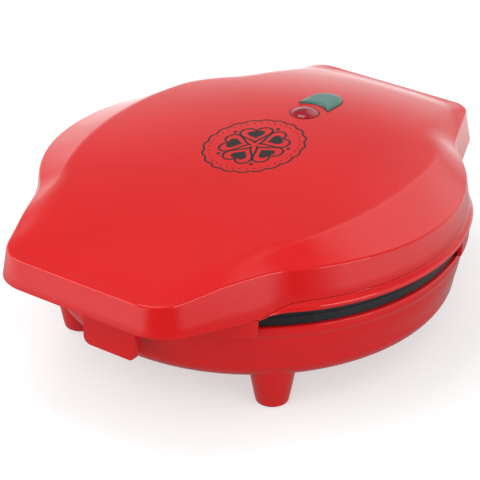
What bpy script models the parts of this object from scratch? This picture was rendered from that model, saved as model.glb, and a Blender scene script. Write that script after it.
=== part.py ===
"""Heart waffle maker: a countertop cooker with a hinged lid, two five-heart plates and a front clip.

The machine stands on its feet on z = 0, with its handle towards -Y and its hinge towards +Y.
The origin is on the floor, under the middle of the whole machine. Lengths are in metres, and an
angle round the lid or a plate is counted from the front, towards +X.
"""
import math

import bmesh
import bpy
from mathutils import Matrix, Vector
from mathutils.geometry import tessellate_polygon

# Radius of the plates, and how much wider the base's rim and the top of the lid's wall are
PLATE_RADIUS = 0.1050
RIM_MARGIN = 0.0016
LID_MARGIN = 0.0013

# Plan of the lid: how far it reaches beyond clip and hinge, and how far its straight sides cut in
HANDLE_OVERHANG = 0.0237
REAR_OVERHANG = 0.0117
HANDLE_HALF_WIDTH = 0.0466
REAR_HALF_WIDTH = 0.0475
FRONT_WAIST = 0.00923156
REAR_WAIST = 0.01403051
FRONT_CORNER_RADIUS = 0.0190
REAR_CORNER_RADIUS = 0.0130
BLEND_RADIUS = 0.0400
WALL_DRAFT = math.radians(9.0)

# Heights of the stack, each measured from the level below it
FOOT_HEIGHT = 0.0180
BOWL_DEPTH = 0.0326
FLANGE_THICKNESS = 0.0044
FRAME_THICKNESS = 0.0025
SKIRT_LIFT = 0.0058
LID_WALL_HEIGHT = 0.0168
CROWN_RISE = 0.0149
CREASE_RISE = 0.0091
LIP_HEIGHT = 0.0045

# Walls and clearances
SHELL_WALL = 0.0025
SEAT_GAP = 0.0003
RUNNING_GAP = 0.0005
OVERRUN = 0.0010
EDGE_ROUND = 0.0026

# Crown and crease of the lid
APEX_Y = 0.0400
CREASE_APEX_Y = 0.0060
SHOULDER_WIDTH = 0.0237
CREASE_ARC_RADIUS = 0.1720
CROWN_FRONT_POWER = 1.9
CROWN_REAR_POWER = 2.4
CREASE_POWER = 2.6
SHOULDER_POWER = 1.6
CREASE_EDGE_INSET = 0.0016
CREASE_MERGE_START = math.radians(26.0)
CREASE_MERGE_END = math.radians(44.0)
LIP_FLARE = 0.0015
DROP_WALL = 0.0020

# Sectors of the lid's lower wall, as angles from the front
FRONT_DROP_ANGLE = math.radians(37.0)
REAR_DROP_ANGLE = math.radians(105.0)
LIP_START_ANGLE = math.radians(44.0)
LIP_FULL_ANGLE = math.radians(62.0)
LIP_FADE_ANGLE = math.radians(120.0)
LIP_END_ANGLE = math.radians(140.0)
SECTOR_EDGES = (FRONT_DROP_ANGLE, LIP_START_ANGLE, REAR_DROP_ANGLE, LIP_END_ANGLE)
SECTOR_STEP = math.radians(0.15)
TURNING_SECTORS = ((math.radians(8.0), math.radians(48.0)), (math.radians(131.0), math.radians(170.0)))
PLAIN_STEP = math.radians(6.0)
CORNER_STEP = math.radians(2.8)

# Base bowl
RIM_BEAD_HEIGHT = 0.0052
RIM_BEAD_STEP = 0.0010
BOWL_TAPER = 0.0031
BOWL_TURN_RADIUS = 0.0110

# Plates
FLANGE_WIDTH = 0.0060
PLATE_DEPTH = 0.0120
RECESS_DEPTH = 0.0090
HEART_COUNT = 5
HEART_MARGIN = 0.0150
LOBE_SHARE = 0.97
LOBE_TURN = math.radians(78.0)
CLEFT_SHARE = 0.86
NOTCH_SHARE = 0.76
RIDGE_WIDTH = 0.0026
KNOB_HEIGHT = 0.0044
KNOB_BASE = 0.0066
KNOB_TOP = 0.0042
KNOB_FIRST_ROW = 0.0270
KNOB_END_MARGIN = 0.0110
KNOB_ROW_SHARES = ((0,), (-0.5, 0.5), (-1, 0, 1), (-1.5, -0.5, 0.5, 1.5), (-1.5, 1.5))
BOSS_RADIUS = 0.0045
BOSS_LENGTH = 0.0080
BOSS_INSET = 0.0350

# Heaters and reflectors
HEATER_INSET = 0.0140
HEATER_TUBE_RADIUS = 0.00325
HEATER_LEG = 0.0090
HEATER_OPENING = math.radians(36.0)
HEATER_STEPS = 22
REFLECTOR_THICKNESS = 0.0008
REFLECTOR_INSET = 0.0170
REFLECTOR_RIM = 0.0062

# Feet
FOOT_INSET = 0.0134083618
FOOT_TURN = math.radians(41.8151249)
FOOT_TOP_RADIUS = 0.0128
FOOT_END_RADIUS = 0.0076
PAD_THICKNESS = 0.0026
PAD_RADIUS = 0.0070
PAD_STEM_RADIUS = 0.0030
PAD_STEM_LENGTH = 0.0040

# Hinge
HINGE_SETBACK = 0.0130
HINGE_PIN_RADIUS = 0.0025
LUG_X = 0.0330
LUG_THICKNESS = 0.0060
LUG_EYE_RADIUS = 0.0060
LUG_ARM_DEPTH = 0.0118
LUG_ARM_TIP = 0.0020
CHEEK_THICKNESS = 0.0040
CHEEK_EYE_RADIUS = 0.0055

# Clip
CLIP_HALF_WIDTH = 0.0155
CLIP_THICKNESS = 0.0045
CLIP_LENGTH = 0.0370
CLIP_SETOFF = 0.00465
CLIP_PIVOT_LIFT = 0.0047
CLIP_PIN_RADIUS = 0.0015
CLIP_EYE_RADIUS = 0.0042
CLIP_CORNER_RADIUS = 0.0040
CLIP_TRAVEL = math.radians(25.0)
HOOK_HALF_WIDTH = 0.0085
HOOK_REACH = 0.0040
HOOK_HEIGHT = 0.0036
HOOK_TIP = 0.0014
HOOK_BITE = 0.0013
CATCH_DROP = 0.0075
CATCH_HEIGHT = 0.0022
EAR_THICKNESS = 0.0035

# Lenses and lamps
POWER_LENS_Y = 0.0448
POWER_LENS_RADIUS = 0.0074
LENS_DOME = 0.0022
LENS_DEPTH = 0.0060
READY_LENS_GAP = 0.0042
READY_LENS_HALF_WIDTH = 0.0088
READY_LENS_SHOULDER = 0.0175
READY_LENS_LENGTH = 0.0279
READY_LENS_PROUD = 0.0012
LAMP_RADIUS = 0.0025
LAMP_POCKET_RADIUS = 0.0052
HOLDER_FLOOR = 0.0015
HOLDER_WALL = 0.0016

# Screws, thermostat, fuse, terminal block and cord gland
SCREW_RADIUS = 0.0018
SCREW_HEAD_RADIUS = 0.0038
SCREW_HEAD_HEIGHT = 0.0022
SCREW_GRIP = 0.0060
SCREW_RECESS = 0.0040
POST_RADIUS = 0.0055
COVER_SCREW_SIDE = 0.0136
COVER_SCREW_FRONT_END = 0.0152
COVER_SCREW_REAR_X = 0.0140
COVER_SCREW_REAR_END = 0.0102
THERMOSTAT_RADIUS = 0.0080
THERMOSTAT_HEIGHT = 0.0072
FUSE_RADIUS = 0.0020
FUSE_LENGTH = 0.0120
FUSE_X = 0.0300
BLOCK_WIDTH = 0.0300
BLOCK_DEPTH = 0.0140
BLOCK_HEIGHT = 0.0110
BLOCK_SETBACK = 0.0305
GLAND_HEIGHT = 0.0115
GLAND_RADIUS = 0.0070
GLAND_BORE = 0.0036
GLAND_FLANGE_RADIUS = 0.0090
GLAND_FLANGE = 0.0020
GLAND_INSIDE = 0.0065
GLAND_NOSE = 0.0045
GLAND_NOSE_RADIUS = 0.0055
GLAND_BOSS_RADIUS = 0.0110
GLAND_BOSS_PROUD = 0.0032

# Facets, and the rings of the lid as shares of the way from the middle to the crease and on to the edge
PANEL_SHARES = (0.3, 0.58, 0.8, 0.91, 1.0)
SHOULDER_SHARES = (0.22, 0.5, 0.76, 1.0)
INNER_PANEL_SHARES = (0.5, 0.85, 1.0)
INNER_SHOULDER_SHARES = (0.5, 1.0)
EDGE_SHARES = (1.0, 0.7, 0.35, 0.0)
ROUND_STEPS = 3
TURN_STEPS = 56
REFLECTOR_STEPS = 40
SMALL_STEPS = 16
TINY_STEPS = 10

# Levels that follow from the stack
BOWL_FLOOR = FOOT_HEIGHT + SHELL_WALL
RIM_Z = FOOT_HEIGHT + BOWL_DEPTH
LOWER_FLANGE_Z = RIM_Z + SEAT_GAP
LOWER_FACE_Z = LOWER_FLANGE_Z + FLANGE_THICKNESS
UPPER_FACE_Z = LOWER_FACE_Z + SEAT_GAP
PARTING_Z = (LOWER_FACE_Z + UPPER_FACE_Z) / 2
UPPER_FLANGE_Z = UPPER_FACE_Z + FLANGE_THICKNESS
FRAME_Z = UPPER_FLANGE_Z + SEAT_GAP
FRAME_TOP_Z = FRAME_Z + FRAME_THICKNESS
SKIRT_Z = PARTING_Z + SKIRT_LIFT
EDGE_Z = SKIRT_Z + LID_WALL_HEIGHT
WALL_TOP_Z = EDGE_Z - EDGE_ROUND
LIP_TOP_Z = UPPER_FLANGE_Z + LIP_HEIGHT
SIDE_SKIRT_Z = LIP_TOP_Z + SEAT_GAP
DROP_Z = RIM_Z + SEAT_GAP * 1.5
LOWER_BACK_Z = LOWER_FACE_Z - PLATE_DEPTH
UPPER_BACK_Z = UPPER_FACE_Z + PLATE_DEPTH
LOWER_BOSS_Z = LOWER_BACK_Z - BOSS_LENGTH
UPPER_BOSS_Z = UPPER_BACK_Z + BOSS_LENGTH
LOWER_REFLECTOR_Z = LOWER_BOSS_Z - SEAT_GAP
UPPER_REFLECTOR_Z = UPPER_BOSS_Z + SEAT_GAP
GLAND_Z = BOWL_FLOOR + GLAND_HEIGHT
CATCH_Z = RIM_Z - CATCH_DROP

# Radii and places that follow from the pieces
RIM_RADIUS = PLATE_RADIUS + RIM_MARGIN
LID_RADIUS = PLATE_RADIUS + LID_MARGIN
CLIP_Y = RIM_RADIUS + CLIP_SETOFF + CLIP_THICKNESS / 2
HINGE_Y = PLATE_RADIUS + HINGE_SETBACK
FRONT_REACH = CLIP_Y + HANDLE_OVERHANG
REAR_REACH = HINGE_Y + REAR_OVERHANG
FRONT_SPLAY = (math.asin((LID_RADIUS - FRONT_WAIST) / math.hypot(HANDLE_HALF_WIDTH, FRONT_REACH))
               - math.atan2(HANDLE_HALF_WIDTH, FRONT_REACH))
REAR_SPLAY = (math.asin((LID_RADIUS - REAR_WAIST) / math.hypot(REAR_HALF_WIDTH, REAR_REACH))
              - math.atan2(REAR_HALF_WIDTH, REAR_REACH))
CREASE_HALF_WIDTH = LID_RADIUS - SHOULDER_WIDTH
PLATE_Y = (FRONT_REACH - REAR_REACH) / 2
HEART_REACH = PLATE_RADIUS - HEART_MARGIN
KNOB_PITCH = (HEART_REACH - KNOB_FIRST_ROW - KNOB_END_MARGIN) / (len(KNOB_ROW_SHARES) - 1)
BOSS_CIRCLE = PLATE_RADIUS - BOSS_INSET
HEATER_RADIUS = BOSS_CIRCLE - HEATER_INSET
REFLECTOR_RADIUS = PLATE_RADIUS - REFLECTOR_INSET
COVER_SCREW_FRONT_X = HANDLE_HALF_WIDTH - COVER_SCREW_SIDE
COVER_SCREW_FRONT_Y = FRONT_REACH - COVER_SCREW_FRONT_END
COVER_SCREW_REAR_Y = REAR_REACH - COVER_SCREW_REAR_END
PLATE_BODY_RADIUS = PLATE_RADIUS - FLANGE_WIDTH
FRAME_HOLE_RADIUS = PLATE_BODY_RADIUS + RUNNING_GAP
SKIRT_GROWTH = (WALL_TOP_Z - SKIRT_Z) * math.tan(WALL_DRAFT)
FRAME_INSET = SHELL_WALL / math.cos(WALL_DRAFT) + RUNNING_GAP
FRAME_GROWTH = (WALL_TOP_Z - FRAME_TOP_Z) * math.tan(WALL_DRAFT) - FRAME_INSET
DROP_RADIUS = LID_RADIUS + SKIRT_GROWTH
HINGE_Z = PARTING_Z
CHEEK_START = LUG_THICKNESS / 2 + RUNNING_GAP
PIN_REACH = CHEEK_START + CHEEK_THICKNESS
CLIP_PIVOT_Z = FRAME_TOP_Z + CLIP_PIVOT_LIFT
EAR_START = CLIP_HALF_WIDTH + RUNNING_GAP * 2
EAR_END = EAR_START + EAR_THICKNESS
CATCH_Y = CLIP_Y - CLIP_THICKNESS / 2 - HOOK_REACH + HOOK_BITE
HALF_DIAGONAL_SHARE = math.sqrt(0.5)
BOSS_XY = BOSS_CIRCLE * HALF_DIAGONAL_SHARE
WALL_RADIUS = RIM_RADIUS - RIM_BEAD_STEP
WALL_END_RADIUS = WALL_RADIUS - BOWL_TAPER
WALL_END_Z = FOOT_HEIGHT + BOWL_TURN_RADIUS
FOOT_X = (WALL_END_RADIUS - FOOT_INSET) * math.sin(FOOT_TURN)
FOOT_Y = (WALL_END_RADIUS - FOOT_INSET) * math.cos(FOOT_TURN)
BLOCK_Y = WALL_END_RADIUS - BLOCK_SETBACK
GLAND_FACE_Y = WALL_END_RADIUS + GLAND_BOSS_PROUD
BORE_RADIUS = SCREW_RADIUS + SEAT_GAP


def material(name, color, roughness, metallic=0.0, transmission=0.0):
    """A Principled material in the part's own colour."""
    made = bpy.data.materials.new(name)
    made.use_nodes = True
    shader = made.node_tree.nodes["Principled BSDF"]
    shader.inputs["Base Color"].default_value = (*color, 1.0)
    shader.inputs["Roughness"].default_value = roughness
    shader.inputs["Metallic"].default_value = metallic
    shader.inputs["Transmission Weight"].default_value = transmission
    made.diffuse_color = (*color, 1.0)
    return made


def clear_scene():
    """Remove everything that the startup file holds."""
    for thing in list(bpy.data.objects):
        bpy.data.objects.remove(thing)


def new_collection(name):
    """A collection under the scene."""
    made = bpy.data.collections.new(name)
    bpy.context.scene.collection.children.link(made)
    return made


def empty_at(name, parent, location):
    """A parent empty: the middle of the plates, or a joint's axis."""
    made = bpy.data.objects.new(name, None)
    made.parent = parent
    made.location = location
    PARTS.objects.link(made)
    return made


def place(name, data, parent, finish, offset=(0, 0, 0)):
    """An object of the machine, or a hidden cutter where it has no finish."""
    made = bpy.data.objects.new(name, data)
    made.parent = parent
    made.location = offset
    if finish is None:
        CUTTERS.objects.link(made)
        made.display_type = "WIRE"
        made.hide_render = True
    else:
        PARTS.objects.link(made)
        data.materials.append(finish)
    return made


def mesh_from(bm, name):
    """Turn a bmesh into a mesh with outward faces, smooth shading and sharp edges."""
    bmesh.ops.recalc_face_normals(bm, faces=bm.faces)
    made = bpy.data.meshes.new(name)
    bm.to_mesh(made)
    bm.free()
    made.shade_smooth()
    made.set_sharp_from_angle(angle=math.radians(35.0))
    return made


def add_cone(bm, low_radius, high_radius, low, high, centre=(0, 0), steps=SMALL_STEPS, along="Z"):
    """A cone or cylinder from low to high, added to a bmesh.

    Its centre is (x, y) along Z, (x, z) along Y and (y, z) along X.
    """
    made = bmesh.ops.create_cone(bm, cap_ends=True, segments=steps, radius1=low_radius,
                                 radius2=high_radius, depth=high - low)
    middle = (low + high) / 2
    if along == "Z":
        turn = Matrix.Translation((centre[0], centre[1], middle))
    elif along == "Y":
        turn = Matrix.Translation((centre[0], middle, centre[1])) @ Matrix.Rotation(-math.pi / 2, 4, "X")
    else:
        turn = Matrix.Translation((middle, centre[0], centre[1])) @ Matrix.Rotation(math.pi / 2, 4, "Y")
    bmesh.ops.transform(bm, matrix=turn, verts=made["verts"])
    return made["verts"]


def add_box(bm, low, high):
    """A box between two corners, added to a bmesh."""
    made = bmesh.ops.create_cube(bm, size=1.0)
    size = [b - a for a, b in zip(low, high)]
    middle = [(a + b) / 2 for a, b in zip(low, high)]
    bmesh.ops.transform(bm, matrix=Matrix.Translation(middle) @ Matrix.Diagonal((*size, 1.0)),
                        verts=made["verts"])


def add_prism(bm, outline, low, high, along="Z"):
    """A flat outline pushed from low to high, added to a bmesh.

    The outline is (x, y) along Z, (x, z) along Y and (y, z) along X.
    """
    def spot(point, height):
        if along == "X":
            return (height, *point)
        return (point[0], height, point[1]) if along == "Y" else (*point, height)
    rings = [[bm.verts.new(spot(point, height)) for point in outline] for height in (low, high)]
    for ring in rings:
        for triangle in tessellate_polygon([[Vector((*point, 0)) for point in outline]]):
            bm.faces.new([ring[corner] for corner in triangle])
    for corner in range(len(outline)):
        after = (corner + 1) % len(outline)
        bm.faces.new((rings[0][corner], rings[0][after], rings[1][after], rings[1][corner]))


def turned(name, profile, parent, finish, steps=TURN_STEPS, offset=(0, 0, 0)):
    """A turned shape from a profile of (radius, z), which runs top to bottom down its outer side."""
    mesh = bpy.data.meshes.new(name)
    mesh.from_pydata([(radius, 0, z) for radius, z in profile],
                     [(i, i + 1) for i in range(len(profile) - 1)], [])
    made = place(name, mesh, parent, finish, offset)
    screw = made.modifiers.new("Turn", "SCREW")
    screw.steps = steps
    screw.render_steps = steps
    screw.use_merge_vertices = True
    screw.merge_threshold = OVERRUN / TURN_STEPS
    screw.use_smooth_shade = True
    return made


def boolean(target, other, operation):
    """Cut a piece with a hidden cutter, or join one to it."""
    cut = target.modifiers.new(operation.title(), "BOOLEAN")
    cut.operation = operation
    cut.object = other


def arc(centre, radius, start, end, count):
    """Points on an arc, both ends included."""
    return [(centre[0] + radius * math.cos(start + (end - start) * i / count),
             centre[1] + radius * math.sin(start + (end - start) * i / count))
            for i in range(count + 1)]


def smooth_step(value, low, high):
    """0 below low, 1 above high and a smooth ramp between."""
    share = min(max((value - low) / (high - low), 0.0), 1.0)
    return share * share * (3 - 2 * share)


def folded(angle):
    """The same angle on the +X half of the machine."""
    return min(angle, 2 * math.pi - angle)


def at_angle(radius, angle, z):
    """The point at a radius and an angle from the front."""
    return (radius * math.sin(angle), -radius * math.cos(angle), z)


def end_outline(reach, half_width, splay, corner_radius, grow):
    """One straight end of the lid, from the middle of its edge round to the circle, towards +Y.

    The side starts at the unrounded corner, leans outward by the splay and runs into the circle
    through a concave blend. Every line is moved outward by grow.
    """
    along = Vector((math.sin(splay), -math.cos(splay)))
    outward = Vector((math.cos(splay), math.sin(splay)))
    corner = Vector((half_width, reach))
    side = corner + outward * grow
    corner_x = (side - along * ((reach + grow - side.y) / -along.y)).x
    radius = corner_radius + grow
    centre = (corner_x - radius * math.tan((math.pi / 2 - splay) / 2), reach + grow - radius)
    start = corner + outward * BLEND_RADIUS
    half_b = start.dot(along)
    gap = start.dot(start) - (LID_RADIUS + BLEND_RADIUS) ** 2
    blend = start - along * (half_b + math.sqrt(half_b * half_b - gap))
    circle_side = math.atan2(blend.y, blend.x) + math.pi
    return ([(0.0, reach + grow)] + arc(centre, radius, math.pi / 2, splay, 8)
            + arc(blend, BLEND_RADIUS - grow, splay + math.pi, circle_side, 8))


def lid_outline(grow):
    """Half of the lid's plan outline, from the front round the +X side to the rear."""
    front = end_outline(FRONT_REACH, HANDLE_HALF_WIDTH, FRONT_SPLAY, FRONT_CORNER_RADIUS, grow)
    rear = end_outline(REAR_REACH, REAR_HALF_WIDTH, REAR_SPLAY, REAR_CORNER_RADIUS, grow)
    front = [(x, -y) for x, y in front]
    start = math.atan2(front[-1][1], front[-1][0])
    end = math.atan2(rear[-1][1], rear[-1][0])
    return front + arc((0, 0), LID_RADIUS + grow, start, end, 40)[1:-1] + rear[::-1]


def lid_radius(angle, grow):
    """The lid's radius at an angle, where a ray from the middle meets the outline."""
    dx, dy = math.sin(folded(angle)), -math.cos(folded(angle))
    outline = lid_outline(grow)
    for (x0, y0), (x1, y1) in zip(outline, outline[1:]):
        before, after = dx * y0 - dy * x0, dx * y1 - dy * x1
        if before <= 0 <= after or (abs(after) < abs(dx) * OVERRUN and before <= 0):
            across = dx * (y1 - y0) - dy * (x1 - x0)
            return (x0 * (y1 - y0) - y0 * (x1 - x0)) / across
    return math.hypot(*outline[-1])


def lid_angles():
    """Angles from the front round to the front again, closer from each corner to its blend."""
    half = [0.0]
    while half[-1] < math.pi - PLAIN_STEP / 2:
        turning = any(low < half[-1] < high for low, high in TURNING_SECTORS)
        half.append(half[-1] + (CORNER_STEP if turning else PLAIN_STEP))
    half[-1] = math.pi
    for edge in SECTOR_EDGES:
        half = [angle for angle in half if abs(angle - edge) > CORNER_STEP / 2] + [edge]
    half.sort()
    return half + [2 * math.pi - angle for angle in half[-2:0:-1]]


def arch(y, apex, front_power, rear_power, rise):
    """Height of a lengthwise arch over the lid's edge, down to nothing at front and rear."""
    if y < apex:
        return rise * (1 - min((apex - y) / (apex + FRONT_REACH), 1.0) ** front_power)
    return rise * (1 - min((y - apex) / (REAR_REACH - apex), 1.0) ** rear_power)


def crease_radius(angle, edge_radius):
    """Radius of the crease between the crowned panel and the sloping shoulder."""
    dx, dy = math.sin(folded(angle)), -math.cos(folded(angle))
    centre = CREASE_HALF_WIDTH - CREASE_ARC_RADIUS
    half_b = dx * centre + dy * CREASE_APEX_Y
    gap = centre ** 2 + CREASE_APEX_Y ** 2 - CREASE_ARC_RADIUS ** 2
    outer = edge_radius - CREASE_EDGE_INSET
    on_arc = min(half_b + math.sqrt(half_b * half_b - gap), outer)
    return outer + (on_arc - outer) * smooth_step(folded(angle), CREASE_MERGE_START, CREASE_MERGE_END)


def crease_half_width(y):
    """Half the panel's width at a distance along the machine."""
    reach = CREASE_ARC_RADIUS ** 2 - (y - CREASE_APEX_Y) ** 2
    return CREASE_HALF_WIDTH - CREASE_ARC_RADIUS + math.sqrt(reach)


def lid_top(x, y):
    """Height of the crowned panel over a point."""
    middle = arch(y, APEX_Y, CROWN_FRONT_POWER, CROWN_REAR_POWER, CROWN_RISE)
    side = arch(y, CREASE_APEX_Y, CREASE_POWER, CREASE_POWER, CREASE_RISE)
    share = min(abs(x) / crease_half_width(y), 1.0)
    return EDGE_Z + side + (middle - side) * (1 - share * share)


def side_rise(angle):
    """How far the lid's parting line has risen from the handle or hinge level to the side level."""
    rise = smooth_step(folded(angle), LIP_START_ANGLE, LIP_FULL_ANGLE)
    return rise * (1 - smooth_step(folded(angle), LIP_FADE_ANGLE, LIP_END_ANGLE))


def skirt_height(angle):
    """Height of the lid cover's lower edge: low over handle and hinge, higher over the lip."""
    return SKIRT_Z + (SIDE_SKIRT_Z - SKIRT_Z) * side_rise(angle)


def lid_top_rings(angles, edge, drop, panel_shares, shoulder_shares):
    """Rings of the lid's top from near its middle out to an edge, lowered by drop."""
    crease = [crease_radius(angle, lid_radius(angle, -EDGE_ROUND)) for angle in angles]
    rings = []
    for share in panel_shares:
        spots = [at_angle(radius * share, angle, 0)[:2] for radius, angle in zip(crease, angles)]
        rings.append([(x, y, lid_top(x, y) - drop) for x, y in spots])
    for share in shoulder_shares:
        ring = []
        for angle, inner, outer, top in zip(angles, crease, edge, rings[len(panel_shares) - 1]):
            height = EDGE_Z - drop + (top[2] + drop - EDGE_Z) * (1 - share) ** SHOULDER_POWER
            ring.append(at_angle(inner + (outer - inner) * share, angle, height))
        rings.append(ring)
    return rings


def skirt_ring(angles, inset):
    """The lower edge of the lid cover's wall, moved inward by inset."""
    heights = [skirt_height(angle) for angle in angles]
    return [at_angle(lid_radius(angle, (WALL_TOP_Z - height) * math.tan(WALL_DRAFT) - inset), angle, height)
            for angle, height in zip(angles, heights)]


def lid_cover_rings(angles):
    """Rings of the lid cover, from its outer top down the wall and back up inside."""
    outer = lid_top_rings(angles, [lid_radius(angle, -EDGE_ROUND) for angle in angles], 0,
                          PANEL_SHARES, SHOULDER_SHARES)
    for step in range(1, ROUND_STEPS + 1):
        turn = (math.pi / 2 - WALL_DRAFT) * step / ROUND_STEPS
        grow = -EDGE_ROUND * (1 - math.sin(turn))
        height = EDGE_Z - EDGE_ROUND * (1 - math.cos(turn))
        outer.append([at_angle(lid_radius(angle, grow), angle, height) for angle in angles])
    inset = SHELL_WALL / math.cos(WALL_DRAFT)
    inner = lid_top_rings(angles, [lid_radius(angle, -inset) for angle in angles], SHELL_WALL,
                          INNER_PANEL_SHARES, INNER_SHOULDER_SHARES)
    return outer + [skirt_ring(angles, 0), skirt_ring(angles, inset)] + inner[::-1]


def cover_screw_spots():
    """Screws that hold the cover to its frame: two in the handle and two over the hinge."""
    return [(x * COVER_SCREW_FRONT_X, -COVER_SCREW_FRONT_Y) for x in (-1, 1)] + [
        (x * COVER_SCREW_REAR_X, COVER_SCREW_REAR_Y) for x in (-1, 1)]


def boss_spots():
    """The four screw centres on the plates' boss circle."""
    return [(x * BOSS_XY, y * BOSS_XY) for y in (-1, 1) for x in (-1, 1)]


def foot_spots():
    """The four feet's centres."""
    return [(x * FOOT_X, y * FOOT_Y) for y in (-1, 1) for x in (-1, 1)]


def heater_end_spots():
    """Where a heater's two ends turn away from its plate."""
    turn = HEATER_OPENING / 2
    return [(side * HEATER_RADIUS * math.sin(turn), HEATER_RADIUS * math.cos(turn)) for side in (-1, 1)]


def grown(outline, distance):
    """A closed outline moved outward by a distance."""
    count = len(outline)
    moved = []
    for i in range(count):
        before, here, after = (Vector(outline[j % count]) for j in (i - 1, i, i + 1))
        first, second = (here - before).normalized(), (after - here).normalized()
        normal = Vector((first.y + second.y, -first.x - second.x)).normalized()
        stretch = 1 / max(normal.dot(Vector((first.y, -first.x))), HALF_DIAGONAL_SHARE)
        moved.append(tuple(here + normal * distance * stretch))
    return moved


def ready_lens_outline():
    """The ready lens from above: an arch whose front side is hollow, round the power lens."""
    inner = POWER_LENS_RADIUS + READY_LENS_GAP
    turn = math.acos(READY_LENS_HALF_WIDTH / inner)
    front = arc((0, POWER_LENS_Y), inner, math.pi - turn, turn, 8)
    height = READY_LENS_LENGTH - READY_LENS_SHOULDER
    back = [(READY_LENS_HALF_WIDTH * x, POWER_LENS_Y + READY_LENS_SHOULDER + height * y)
            for x, y in arc((0, 0), 1, 0, math.pi, 10)]
    return front + back


def make_lid_cover(finish):
    """The glossy moulded lid: a lofted shell with screw posts and holes for the lenses."""
    angles = lid_angles()
    bm = bmesh.new()
    rows = [[bm.verts.new(point) for point in ring] for ring in lid_cover_rings(angles)]
    top = bm.verts.new((0, 0, lid_top(0, 0)))
    ceiling = bm.verts.new((0, 0, lid_top(0, 0) - SHELL_WALL))
    for i in range(len(angles)):
        after = (i + 1) % len(angles)
        bm.faces.new((top, rows[0][i], rows[0][after]))
        bm.faces.new((ceiling, rows[-1][after], rows[-1][i]))
        for upper, lower in zip(rows, rows[1:]):
            bm.faces.new((upper[i], lower[i], lower[after], upper[after]))
    cover = place("lid_cover", mesh_from(bm, "lid_cover"), LID, finish, LID_OFFSET)
    bm = bmesh.new()
    for x, y in cover_screw_spots():
        post_top = lid_top(x, y + math.copysign(POST_RADIUS, y)) - SHELL_WALL / 2
        add_cone(bm, POST_RADIUS, POST_RADIUS, FRAME_TOP_Z + SEAT_GAP, post_top, (x, y))
    posts = place("lid_cover_posts", mesh_from(bm, "lid_cover_posts"), LID, None, LID_OFFSET)
    boolean(cover, posts, "UNION")
    bm = bmesh.new()
    through = EDGE_Z + CROWN_RISE + OVERRUN
    lens_hole = POWER_LENS_RADIUS + SEAT_GAP
    add_cone(bm, lens_hole, lens_hole, EDGE_Z, through, (0, POWER_LENS_Y), 2 * TINY_STEPS)
    add_prism(bm, grown(ready_lens_outline(), SEAT_GAP), EDGE_Z, through)
    for x, y in cover_screw_spots():
        add_cone(bm, BORE_RADIUS, BORE_RADIUS, FRAME_Z, FRAME_TOP_Z + SCREW_GRIP + OVERRUN, (x, y),
                 TINY_STEPS)
    holes = place("lid_cover_holes", mesh_from(bm, "lid_cover_holes"), LID, None, LID_OFFSET)
    boolean(cover, holes, "DIFFERENCE")


def frame_section(angle):
    """Eleven (radius, z) points of the lid frame's section at an angle.

    Over handle and hinge the frame is a plate inside the skirt. Along the sides it ends in a
    flared lip under the cover. In front and behind, a wall drops from it to the base's rim.
    """
    plate_edge = lid_radius(angle, FRAME_GROWTH)
    rise = side_rise(angle)
    drops = not FRONT_DROP_ANGLE < folded(angle) < REAR_DROP_ANGLE
    foot = DROP_Z if drops else UPPER_FLANGE_Z
    if rise > 0 or plate_edge < DROP_RADIUS + DROP_WALL / 2:
        top = skirt_height(angle) - SEAT_GAP
        neck = lid_radius(angle, (WALL_TOP_Z - skirt_height(angle)) * math.tan(WALL_DRAFT))
        lip = lid_radius(angle, SKIRT_GROWTH + LIP_FLARE * rise)
        band = top - UPPER_FLANGE_Z
        wall = min(DROP_RADIUS, lip - DROP_WALL / 4) if drops else lip - band / 8
        outer = [(plate_edge, FRAME_TOP_Z), (plate_edge, top), (neck, top), (lip, UPPER_FLANGE_Z + band / 4),
                 (wall + SEAT_GAP / 2, UPPER_FLANGE_Z + SEAT_GAP / 4), (wall, foot)]
    else:
        wall = min(DROP_RADIUS, plate_edge - DROP_WALL / 4)
        outer = [(plate_edge, FRAME_Z + FRAME_THICKNESS * share) for share in EDGE_SHARES]
        outer += [(wall + SEAT_GAP / 2, FRAME_Z - SEAT_GAP / 2), (wall, foot)]
    inner = wall - DROP_WALL
    gusset = FRAME_Z - FRAME_THICKNESS if drops else (foot + FRAME_Z) / 2
    return ([(FRAME_HOLE_RADIUS, FRAME_TOP_Z)] + outer + [(inner, foot), (inner, gusset),
            (PLATE_RADIUS + RUNNING_GAP, FRAME_Z), (FRAME_HOLE_RADIUS, FRAME_Z)])


def frame_angles():
    """Angles of the frame's sections, with a close pair at each sector's edge."""
    pairs = [edge + side * SECTOR_STEP for edge in SECTOR_EDGES for side in (-1, 1)]
    pairs += [2 * math.pi - angle for angle in pairs]
    plain = [angle for angle in lid_angles() if min(abs(angle - other) for other in pairs) > SECTOR_STEP]
    return sorted(pairs + plain)


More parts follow.
